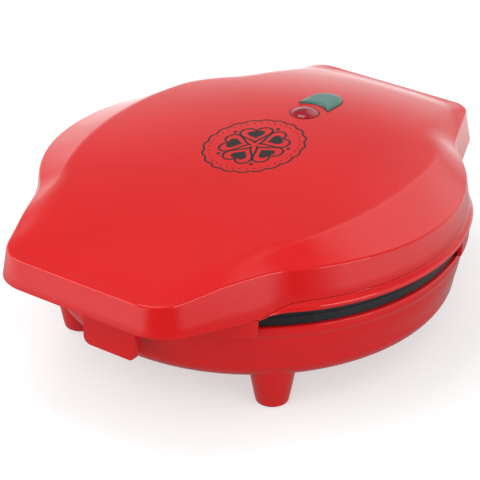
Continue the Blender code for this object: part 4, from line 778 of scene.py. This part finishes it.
def frame_rings():
    """Sections of the lid's frame at close angles: plate, flared lip and drop walls."""
    angles = list(np.arange(ANGLE_COUNT) * FULL_TURN / ANGLE_COUNT)
    pairs = [edge + side * SECTOR_STEP for edge in SECTOR_EDGES for side in (-1, 1)]
    pairs += [FULL_TURN - angle for angle in pairs]
    angles = [a for a in angles if min(abs(a - other) for other in pairs) > 2 * SECTOR_STEP]
    angles = np.array(sorted(angles + pairs))
    inset = SHELL_WALL / math.cos(WALL_DRAFT)
    plate_edge = lid_radii(angles, (WALL_TOP_Z - FRAME_TOP_Z) * math.tan(WALL_DRAFT) - inset - RUNNING_GAP)
    rise = side_rise(angles)
    fold = folded(angles)
    drops = (fold <= FRONT_DROP_ANGLE) | (fold >= REAR_DROP_ANGLE)
    front = fold <= FRONT_DROP_ANGLE
    foot = np.where(front, FRONT_DROP_Z, np.where(drops, DROP_Z, UPPER_FLANGE_Z))
    skirt = skirt_heights(angles)
    outer = radii_at(angles, (WALL_TOP_Z - skirt) * math.tan(WALL_DRAFT))
    rear_radius = LID_RADIUS + (WALL_TOP_Z - SKIRT_Z) * math.tan(WALL_DRAFT)
    front_radius = rear_radius + (FRONT_DROP_RADIUS - rear_radius) * smooth_step(fold, *DROP_STEP)
    drop_radius = np.where(front, np.minimum(front_radius, outer - DROP_WALL / 4), rear_radius)
    near = ~front & ((rise > 0) | (plate_edge < drop_radius + DROP_WALL / 2))
    top = np.where(near, skirt - SEAT_GAP, FRAME_TOP_Z)
    neck = np.where(near, outer, plate_edge)
    lip_growth = (WALL_TOP_Z - SKIRT_Z) * math.tan(WALL_DRAFT) + LIP_FLARE * rise
    lip = np.where(near, radii_at(angles, lip_growth), plate_edge)
    low = np.where(near, np.minimum(UPPER_FLANGE_Z, top - DROP_WALL / 4),
                   np.minimum(FRAME_Z, skirt - SEAT_GAP))
    band = np.where(near, top - low, FRAME_TOP_Z - FRAME_Z)
    wall = np.where(near, np.where(drops, np.minimum(drop_radius, lip - DROP_WALL / 4), lip - band / 8),
                    np.where(front, drop_radius, np.minimum(drop_radius, plate_edge - DROP_WALL / 4)))
    under = np.where(front & (wall > plate_edge), 0.0, 1.0)
    rings = [(np.full_like(angles, FRAME_HOLE_RADIUS), np.full_like(angles, FRAME_TOP_Z)),
             (plate_edge, np.full_like(angles, FRAME_TOP_Z)), (plate_edge, top)]
    rings.append((neck - SEAT_GAP, top))
    for share in np.linspace(0, 1, 6):
        bulge = math.sin(share * math.pi / 2)
        rings.append((neck + (lip - neck) * bulge,
                      top - band * LIP_TOP_SHARE - band * LIP_FALL_SHARE * share))
    for share in np.linspace(0, 1, 5)[1:]:
        swing = share * math.pi / 2
        rise_left = under * band * LIP_TURN_SHARE * (1 - math.sin(swing))
        rings.append((wall + SEAT_GAP / 2 + (lip - wall - SEAT_GAP / 2) * math.cos(swing),
                      low + rise_left + SEAT_GAP / 4 * math.sin(swing)))
    draft = np.where(front, DROP_DRAFT, 0.0)
    inner = wall - DROP_WALL
    rings += [(wall - draft / 2, (low + foot) / 2), (wall - draft, foot + SEAT_GAP),
              (wall - draft - SEAT_GAP, foot),
              (inner - draft, foot), (inner, np.where(drops, FRAME_Z - SHELL_WALL, (foot + FRAME_Z) / 2)),
              (np.full_like(angles, PLATE_RADIUS + RUNNING_GAP), np.full_like(angles, FRAME_Z)),
              (np.full_like(angles, FRAME_HOLE_RADIUS), np.full_like(angles, FRAME_Z))]
    return [ring(radii, angles, heights) for radii, heights in rings]


def make_lid_frame():
    """The lid's lower frame with its lip, drop walls, hinge cheeks and clip ears."""
    piece = loft("lid_lower_frame", frame_rings(), sharp=PART_SHARP)
    root = (FRAME_Z + FRAME_TOP_Z) / 2
    hinge_y = PLATE_Y + HINGE_Y
    clip_y = PLATE_Y - CLIP_Y
    bm = bmesh.new()
    for side in (-1, 1):
        cheek = arc((hinge_y, PARTING_Z), CHEEK_EYE_RADIUS, math.pi, FULL_TURN, EYE_STEPS)
        cheek += [(hinge_y + CHEEK_EYE_RADIUS, root), (hinge_y - CHEEK_EYE_RADIUS, root)]
        for start, end in ((-PIN_REACH, -CHEEK_START), (CHEEK_START, PIN_REACH)):
            add_prism(bm, cheek, side * LUG_X + start, side * LUG_X + end, "X")
        ear = arc((clip_y, CLIP_PIVOT_Z), CLIP_EYE_RADIUS, 0, math.pi, EYE_STEPS)
        ear += [(clip_y - CLIP_EYE_RADIUS, root), (clip_y + CLIP_EYE_RADIUS, root)]
        add_prism(bm, ear, *sorted((side * EAR_START, side * EAR_END)), "X")
    boolean(piece, bm, "UNION")
    bm = bmesh.new()
    slot = LUG_EYE_RADIUS + RUNNING_GAP * 2
    for side in (-1, 1):
        add_box(bm, (side * LUG_X - CHEEK_START, hinge_y - slot, PARTING_Z - slot),
                (side * LUG_X + CHEEK_START, hinge_y + slot, FRAME_TOP_Z + CUT_PAST))
    swing = CLIP_THICKNESS + (CLIP_PIVOT_Z - FRAME_Z) * math.tan(CLIP_TRAVEL)
    add_box(bm, (-CLIP_SLOT_HALF_WIDTH, clip_y - swing, FRAME_Z - CUT_PAST),
            (CLIP_SLOT_HALF_WIDTH, clip_y + CLIP_THICKNESS / 2 + RUNNING_GAP * 2, FRAME_TOP_Z + CUT_PAST))
    boolean(piece, bm, "DIFFERENCE")
    return dress(settle(piece), RED, "lid", "red_shell", "lid_frame")


# Base

def make_base():
    """The base bowl: beaded rim, tapering wall, turned-in bottom, tapered feet, hinge lugs and catch."""
    bead = RIM_Z - RIM_BEAD
    outer = arc((RIM_RADIUS - RIM_ROUND, RIM_Z - RIM_ROUND), RIM_ROUND, math.pi / 2, 0, 5)
    for share in BEAD_SHARES:
        outer.append((RIM_RADIUS + (WALL_RADIUS - RIM_RADIUS) * share * share * (3 - 2 * share),
                      bead + BEAD_BLEND - 2 * BEAD_BLEND * share))
    outer.append((WALL_RADIUS, bead - BEAD_BLEND))
    wall_end_z = FOOT_HEIGHT + BOWL_TURN_RADIUS
    for share in WALL_SHARES:
        outer.append((WALL_RADIUS + (WALL_END_RADIUS - WALL_RADIUS) * share ** WALL_CURVE,
                      bead - BEAD_BLEND + (wall_end_z - bead + BEAD_BLEND) * share))
    outer += arc((WALL_END_RADIUS - BOWL_TURN_RADIUS, wall_end_z), BOWL_TURN_RADIUS, 0, -math.pi / 2, 16)
    outer += [(radius, FOOT_HEIGHT) for radius in FLOOR_RADII[::-1]]
    inner_radius = WALL_RADIUS - SHELL_WALL
    floor_z = FOOT_HEIGHT + SHELL_WALL
    inner = [(radius, floor_z) for radius in FLOOR_RADII]
    inner += arc((WALL_END_RADIUS - BOWL_TURN_RADIUS, wall_end_z), BOWL_TURN_RADIUS - SHELL_WALL,
                 -math.pi / 2, 0, 8)
    inner += [(inner_radius, bead), (inner_radius, RIM_Z)]
    rings = turned_rings(inner + outer, BOWL_STEPS)
    piece = loft("base_bowl", rings, (0, PLATE_Y, floor_z), (0, PLATE_Y, FOOT_HEIGHT))
    bm = bmesh.new()
    low, top = FOOT_END_Z, wall_end_z - SHELL_WALL
    slope = (FOOT_TOP_RADIUS - FOOT_END_RADIUS) / (top - low)
    rounding = (FOOT_END_RADIUS - FOOT_ROUND, low + FOOT_ROUND)
    profile = [(FOOT_HUB, low)] + arc(rounding, FOOT_ROUND, -math.pi / 2, FOOT_ROUND_END, 7)
    profile += [(FOOT_END_RADIUS + slope * (z - low), z) for z in (low + FOOT_RING, FOOT_HEIGHT, top)]
    for place in FOOT_PLACES:
        rows = [[bm.verts.new(point) for point in one] for one in turned_rings(profile, ROUND_STEPS, place)]
        skin(bm, rows)
        bm.faces.new(rows[0])
        bm.faces.new(rows[-1])
    boolean(piece, bm, "UNION")
    bm = bmesh.new()
    hinge_y = PLATE_Y + HINGE_Y
    arm_z = RIM_Z - SEAT_GAP
    start_y = PLATE_Y + math.sqrt(WALL_END_RADIUS ** 2 - (LUG_X + LUG_THICKNESS) ** 2) - WELD
    lug = [(start_y, arm_z), (start_y, arm_z - LUG_ARM_DEPTH),
           (hinge_y - LUG_TOE, PARTING_Z - 2 * LUG_EYE_RADIUS)]
    lug += arc((hinge_y, PARTING_Z), LUG_EYE_RADIUS, LUG_ARC_START, math.pi, 32)
    lug += [(hinge_y - 1.5 * LUG_EYE_RADIUS, arm_z)]
    for side in (-1, 1):
        add_prism(bm, lug, side * LUG_X - LUG_THICKNESS / 2, side * LUG_X + LUG_THICKNESS / 2, "X")
    catch_y = CLIP_Y - CLIP_THICKNESS / 2 - HOOK_REACH + CATCH_OVERLAP
    add_box(bm, (-HOOK_HALF_WIDTH, PLATE_Y - catch_y, RIM_Z - CATCH_FOOT),
            (HOOK_HALF_WIDTH, PLATE_Y - WALL_END_RADIUS + CATCH_ROOT, RIM_Z - CATCH_DROP))
    add_cone(bm, GLAND_BOSS_RADIUS, GLAND_BOSS_RADIUS, PLATE_Y + WALL_END_RADIUS - WELD,
             PLATE_Y + GLAND_FACE_Y, (0, GLAND_Z), ROUND_STEPS, "Y")
    boolean(piece, bm, "UNION")
    bm = bmesh.new()
    for place in BOSS_PLACES:
        add_cone(bm, SCREW_BORE, SCREW_BORE, FOOT_HEIGHT - CUT_PAST, FOOT_HEIGHT + SCREW_BORE_DEPTH,
                 place, 32)
    add_cone(bm, GLAND_BORE, GLAND_BORE, PLATE_Y + GLAND_BORE_Y, PLATE_Y + GLAND_FACE_Y + CUT_PAST,
             (0, GLAND_Z), 32, "Y")
    for place in FOOT_PLACES:
        add_cone(bm, PAD_POCKET_RADIUS, PAD_POCKET_RADIUS, -FOOT_END_Z, PAD_THICKNESS + SEAT_GAP, place,
                 ROUND_STEPS)
    boolean(piece, bm, "DIFFERENCE")
    return dress(settle(piece), RED, "base", "red_shell", "base_housing")


# Clip

def make_clip():
    """The front clip: a bevelled plate with rounded lower corners, a rolled eye and a hook behind."""
    y, z = PLATE_Y - CLIP_Y, CLIP_PIVOT_Z
    corner, width = CLIP_CORNER_RADIUS, CLIP_HALF_WIDTH
    low = z + corner - CLIP_LENGTH
    outline = [(-width, z)] + arc((corner - width, low), corner, math.pi, 1.5 * math.pi, 12)
    outline += arc((width - corner, low), corner, -math.pi / 2, 0, 12) + [(width, z)]
    bm = bmesh.new()
    add_prism(bm, outline, y - CLIP_THICKNESS / 2, y + CLIP_THICKNESS / 2, "Y")
    piece = link("clip_plate", mesh_from(bm, "clip_plate"))
    bm = bmesh.new()
    add_cone(bm, CLIP_EYE_RADIUS, CLIP_EYE_RADIUS, -width, width, (y, z), 48, "X")
    boolean(piece, bm, "UNION")
    bm = bmesh.new()
    catch = RIM_Z - CATCH_DROP - CATCH_THICKNESS - SEAT_GAP
    reach = y + CLIP_THICKNESS / 2 + HOOK_REACH
    hook = [(y, catch), (reach, catch), (reach, catch - HOOK_FACE),
            (y + CLIP_THICKNESS / 2, catch - HOOK_HEIGHT), (y, catch - HOOK_HEIGHT)]
    add_prism(bm, hook, -HOOK_HALF_WIDTH, HOOK_HALF_WIDTH, "X")
    boolean(piece, bm, "UNION")
    bevel = piece.modifiers.new("Bevel", "BEVEL")
    bevel.width = CLIP_BEVEL
    bevel.segments = 3
    bevel.limit_method = "ANGLE"
    bevel.angle_limit = CLIP_BEVEL_ANGLE
    return dress(settle(piece), RED, "latch", "red_shell", "latch_clip")


# Lenses

def make_power_lens():
    """The round red lens: a low dome standing in a thin flange."""
    rim = float(lid_top(0, POWER_LENS_Y))
    dome_radius = POWER_LENS_RADIUS - LENS_FLANGE
    flange = rim + LENS_FLANGE_PROUD
    dome = LENS_DOME - LENS_FLANGE_PROUD
    sphere = (dome_radius ** 2 + dome ** 2) / (2 * dome)
    half_angle = math.asin(dome_radius / sphere)
    turns = [half_angle * i / LENS_STEPS for i in range(1, LENS_STEPS + 1)]
    profile = [(sphere * math.sin(turn), flange + dome - sphere * (1 - math.cos(turn))) for turn in turns]
    profile += [(dome_radius + LENS_GROOVE_START, flange - LENS_GROOVE),
                (dome_radius + LENS_GROOVE_END, flange), (POWER_LENS_RADIUS - LENS_ROUND, flange),
                (POWER_LENS_RADIUS, flange - LENS_ROUND), (POWER_LENS_RADIUS, rim - LENS_DEPTH)]
    centre = (0.0, PLATE_Y + POWER_LENS_Y)
    piece = loft("power_window", turned_rings(profile, ROUND_STEPS, centre), (*centre, flange + dome),
                 (*centre, rim - LENS_DEPTH))
    return dress(piece, RED_LENS, "lid", "red_lens", "power_lens")


def make_ready_lens():
    """The shield-shaped lens, following the crown with a rounded edge."""
    outline = ready_lens_outline()
    low = float(lid_top(0, POWER_LENS_Y + READY_LENS_LENGTH)) - LENS_DEPTH
    rings = [[(x, y + PLATE_Y, low) for x, y in outline]]
    for step in range(READY_LENS_STEPS + 1):
        turn = math.pi / 2 * step / READY_LENS_STEPS
        inset = READY_LENS_PROUD * READY_LENS_ROUND * (1 - math.cos(turn))
        rise = READY_LENS_PROUD * (READY_LENS_UPRIGHT + READY_LENS_ROUND * math.sin(turn))
        rings.append([on_crown(x, y, rise) for x, y in grown(outline, -inset)])
    top = grown(outline, -READY_LENS_PROUD * READY_LENS_ROUND)
    middle = (0.0, POWER_LENS_Y + (READY_LENS_LENGTH + POWER_LENS_RADIUS + READY_LENS_GAP) / 2)
    for share in (0.75, 0.5, 0.25):
        spots = [(middle[0] + (x - middle[0]) * share, middle[1] + (y - middle[1]) * share)
                 for x, y in top]
        rings.append([on_crown(x, y, READY_LENS_PROUD) for x, y in spots])
    piece = loft("ready_window", rings[::-1], on_crown(*middle, READY_LENS_PROUD),
                 (middle[0], middle[1] + PLATE_Y, low))
    return dress(piece, GREEN_LENS, "lid", "green_lens", "ready_lens")


# Printed emblem

def oval(point):
    """A point of the round emblem, moved to its place in the upright oval."""
    return Vector((point[0] * EMBLEM_NARROW, EMBLEM_Y + (point[1] - EMBLEM_Y) * EMBLEM_STRETCH))


def strip(bm, points, width):
    """A closed printed line on the crown, as a thin band that follows it."""
    points = [oval(point) for point in points]
    count = len(points)
    rows = []
    for i, here in enumerate(points):
        along = (points[(i + 1) % count] - points[i - 1]).normalized()
        across = Vector((-along.y, along.x)) * width / 2
        row = []
        for spot, lift in ((here - across, 1), (here + across, 1),
                           (here + across, -1), (here - across, -1)):
            row.append(bm.verts.new(on_crown(spot.x, spot.y, EMBLEM_LIFT * lift)))
        rows.append(row)
    for i in range(count):
        row, after = rows[i], rows[(i + 1) % count]
        for j in range(4):
            k = (j + 1) % 4
            bm.faces.new((row[j], row[k], after[k], after[j]))


def blot(bm, outline, centre):
    """A printed filled shape on the crown, as a fan about its centre."""
    outline, centre = [oval(point) for point in outline], oval(centre)
    tops = [bm.verts.new(on_crown(x, y, EMBLEM_LIFT)) for x, y in outline]
    lows = [bm.verts.new(on_crown(x, y, -EMBLEM_LIFT)) for x, y in outline]
    peak = bm.verts.new(on_crown(*centre, EMBLEM_LIFT))
    pit = bm.verts.new(on_crown(*centre, -EMBLEM_LIFT))
    for i in range(len(outline)):
        j = (i + 1) % len(outline)
        bm.faces.new((peak, tops[i], tops[j]))
        bm.faces.new((pit, lows[j], lows[i]))
        bm.faces.new((tops[i], lows[i], lows[j], tops[j]))


def heart_points(size, count):
    """A heart from the usual sine curve, with its tip at the origin and its lobes along -Y."""
    points = []
    for i in range(count):
        t = FULL_TURN * i / count
        x = 16 * math.sin(t) ** 3
        y = 13 * math.cos(t) - 5 * math.cos(2 * t) - 2 * math.cos(3 * t) - math.cos(4 * t)
        points.append((x * size / HEART_UNITS, -(y + HEART_TIP) * size / HEART_UNITS))
    return points


def make_emblem():
    """A printed rosette: a scalloped ring round five hearts, with a dot between each two."""
    bm = bmesh.new()
    centre = Vector((0.0, EMBLEM_Y))
    scallops = []
    for i in range(SCALLOP_COUNT * SCALLOP_STEPS):
        turn = FULL_TURN * i / (SCALLOP_COUNT * SCALLOP_STEPS)
        swell = abs(math.sin(turn * SCALLOP_COUNT / 2))
        radius = EMBLEM_RADIUS * (SCALLOP_LOW + SCALLOP_DEPTH * swell)
        scallops.append((centre.x + radius * math.sin(turn), centre.y - radius * math.cos(turn)))
    strip(bm, scallops, SCALLOP_LINE)
    for i in range(BEAD_COUNT):
        turn = FULL_TURN * (i + 0.5) / BEAD_COUNT
        spot = centre + Vector((math.sin(turn), -math.cos(turn))) * EMBLEM_RADIUS * BEAD_PLACE
        blot(bm, arc(spot, BEAD_RADIUS, 0, FULL_TURN, 10)[:-1], spot)
    for heart in range(HEART_COUNT):
        turn = Matrix.Rotation(FULL_TURN * heart / HEART_COUNT, 2)

        def turned(size, start, count):
            return [centre + turn @ (Vector(point) + Vector((0, -start)))
                    for point in heart_points(size, count)]
        strip(bm, turned(HEART_SIZE, HEART_START, 48), HEART_LINE)
        blot(bm, turned(INNER_HEART_SIZE, INNER_HEART_START, 40),
             centre + turn @ Vector((0, -INNER_HEART_MIDDLE)))
        half_on = Matrix.Rotation(FULL_TURN * (heart + 0.5) / HEART_COUNT, 2)
        between = centre + half_on @ Vector((0, -DOT_PLACE))
        blot(bm, arc(between, DOT_RADIUS, 0, FULL_TURN, 18)[:-1], between)
    piece = link("printed_rosette", mesh_from(bm, "printed_rosette"))
    return dress(piece, INK, "lid", "red_shell")


# Floor, light and camera

def math_node(nodes, links, operation, first, second):
    """A Math node of two values, each a socket or a number."""
    made = nodes.new("ShaderNodeMath")
    made.operation = operation
    for socket, value in zip(made.inputs, (first, second)):
        if isinstance(value, (int, float)):
            socket.default_value = value
        else:
            links.new(value, socket)
    return made.outputs["Value"]


def soft_range(nodes, links, source, start, end, low, high):
    """A value that runs smoothly from low at start to high at end."""
    made = nodes.new("ShaderNodeMapRange")
    made.interpolation_type = "SMOOTHSTEP"
    for name, value in (("From Min", start), ("From Max", end), ("To Min", low), ("To Max", high)):
        made.inputs[name].default_value = value
    links.new(source, made.inputs["Value"])
    return made.outputs["Result"]


def toward(nodes, links, vector, direction):
    """The cosine between a unit vector and a fixed direction."""
    made = nodes.new("ShaderNodeVectorMath")
    made.operation = "DOT_PRODUCT"
    made.inputs[1].default_value = tuple(Vector(direction).normalized())
    links.new(vector, made.inputs[0])
    return made.outputs["Value"]


def make_floor():
    """A pale floor with a soft grey shadow, white to the camera; to glossy rays a glow, dimmed near the
    object as a painted shadow and towards the front right as painted shade.
    """
    bpy.ops.mesh.primitive_plane_add(size=FLOOR_SIZE, location=(0, 0, 0))
    floor = bpy.context.object
    floor.name = "studio_floor"
    made = bpy.data.materials.new("studio_floor")
    made.use_nodes = True
    nodes, links = made.node_tree.nodes, made.node_tree.links
    shader = nodes["Principled BSDF"]
    shader.inputs["Base Color"].default_value = (*FLOOR_COLOR, 1.0)
    shader.inputs["Roughness"].default_value = FLOOR_ROUGHNESS
    shader.inputs["Specular IOR Level"].default_value = 0.0
    path = nodes.new("ShaderNodeLightPath")
    shader.inputs["Emission Color"].default_value = (*FLOOR_TINT, 1.0)
    links.new(math_node(nodes, links, "MULTIPLY", path.outputs["Is Camera Ray"], FLOOR_GLOW),
              shader.inputs["Emission Strength"])
    place = nodes.new("ShaderNodeTexCoord")
    length = nodes.new("ShaderNodeVectorMath")
    length.operation = "LENGTH"
    links.new(place.outputs["Object"], length.inputs[0])
    unit = nodes.new("ShaderNodeVectorMath")
    unit.operation = "NORMALIZE"
    links.new(place.outputs["Object"], unit.inputs[0])
    # What glossy rays see in place of the floor's own shading: a glow with a painted shadow near the object
    # and painted shade towards the front right
    side = toward(nodes, links, unit.outputs["Vector"], (*DARK_SIDE[:2], 0.0))
    far = soft_range(nodes, links, side, *FLOOR_PAINTED_SHADE_SPREAD, FLOOR_REFLECTED, FLOOR_MIRRORED_PAINTED_SHADE)
    away = soft_range(nodes, links, length.outputs["Value"], *FLOOR_PAINTED_SHADOW_REACH, 0.0, 1.0)
    near = math_node(nodes, links, "SUBTRACT", far, FLOOR_MIRRORED_PAINTED_SHADOW)
    seen = math_node(nodes, links, "MULTIPLY", near, away)
    seen = math_node(nodes, links, "ADD", seen, FLOOR_MIRRORED_PAINTED_SHADOW)
    mirror = nodes.new("ShaderNodeEmission")
    links.new(seen, mirror.inputs["Strength"])
    mix = nodes.new("ShaderNodeMixShader")
    links.new(path.outputs["Is Glossy Ray"], mix.inputs["Fac"])
    links.new(shader.outputs["BSDF"], mix.inputs[1])
    links.new(mirror.outputs["Emission"], mix.inputs[2])
    links.new(mix.outputs["Shader"], nodes["Material Output"].inputs["Surface"])
    floor.data.materials.append(made)


def make_world():
    """A white studio: a fill from the front left and the right, and what the glossy red mirrors."""
    world = bpy.data.worlds.new("studio")
    bpy.context.scene.world = world
    world.use_nodes = True
    nodes, links = world.node_tree.nodes, world.node_tree.links
    background = nodes["Background"]
    place = nodes.new("ShaderNodeTexCoord").outputs["Generated"]
    up = toward(nodes, links, place, (0, 0, 1))

    def lobe(direction, *limits):
        return soft_range(nodes, links, toward(nodes, links, place, direction), *limits)
    fill = lobe(FILL_SIDE, *FILL_RANGE, FILL_LOW, FILL_HIGH)
    right = lobe(RIGHT_SIDE, *RIGHT_RANGE, 0.0, RIGHT_FILL)
    fill = math_node(nodes, links, "ADD", fill, right)
    sky = soft_range(nodes, links, up, *SKY_RANGE, HORIZON_MIRRORED, OVERHEAD_MIRRORED)
    dark = lobe(DARK_SIDE, *DARK_RANGE, 1.0, DARK_MIRRORED)
    back = lobe(BACK_SIDE, *BACK_RANGE, 0.0, BACK_MIRRORED)
    mirrored = math_node(nodes, links, "ADD", math_node(nodes, links, "MULTIPLY", sky, dark), back)
    path = nodes.new("ShaderNodeLightPath")
    glossy = nodes.new("ShaderNodeMix")
    glossy.data_type = "FLOAT"
    links.new(path.outputs["Is Glossy Ray"], glossy.inputs["Factor"])
    links.new(fill, glossy.inputs["A"])
    links.new(mirrored, glossy.inputs["B"])
    seen = nodes.new("ShaderNodeMix")
    seen.data_type = "FLOAT"
    links.new(path.outputs["Is Camera Ray"], seen.inputs["Factor"])
    links.new(glossy.outputs["Result"], seen.inputs["A"])
    seen.inputs["B"].default_value = 1.0
    links.new(seen.outputs["Result"], background.inputs["Strength"])
    background.inputs["Color"].default_value = (1.0, 1.0, 1.0, 1.0)


def make_light(name, place, target, size, power):
    """A softbox that faces a point."""
    data = bpy.data.lights.new(name, "AREA")
    data.shape = "RECTANGLE"
    data.size, data.size_y = size
    data.energy = power
    lamp = link(name, data)
    lamp.location = place
    lamp.rotation_euler = (Vector(target) - Vector(place)).to_track_quat("-Z", "Y").to_euler()


def make_camera():
    """The photograph's view: from the front right, 29 degrees up."""
    data = bpy.data.cameras.new("camera")
    data.lens = CAMERA_LENS
    data.sensor_width = CAMERA_SENSOR
    data.clip_start = CAMERA_NEAR
    camera = link("camera", data)
    camera.location = CAMERA_PLACE
    camera.rotation_euler = (CAMERA_PITCH, 0.0, CAMERA_TURN)
    bpy.context.scene.camera = camera


finish_nodes()
make_lid_cover()
make_lid_frame()
make_base()
make_clip()
make_power_lens()
make_ready_lens()
make_emblem()
make_floor()
make_world()
for light in LIGHTS:
    make_light(*light)
make_camera()
scene = bpy.context.scene
scene.view_settings.view_transform = "Standard"
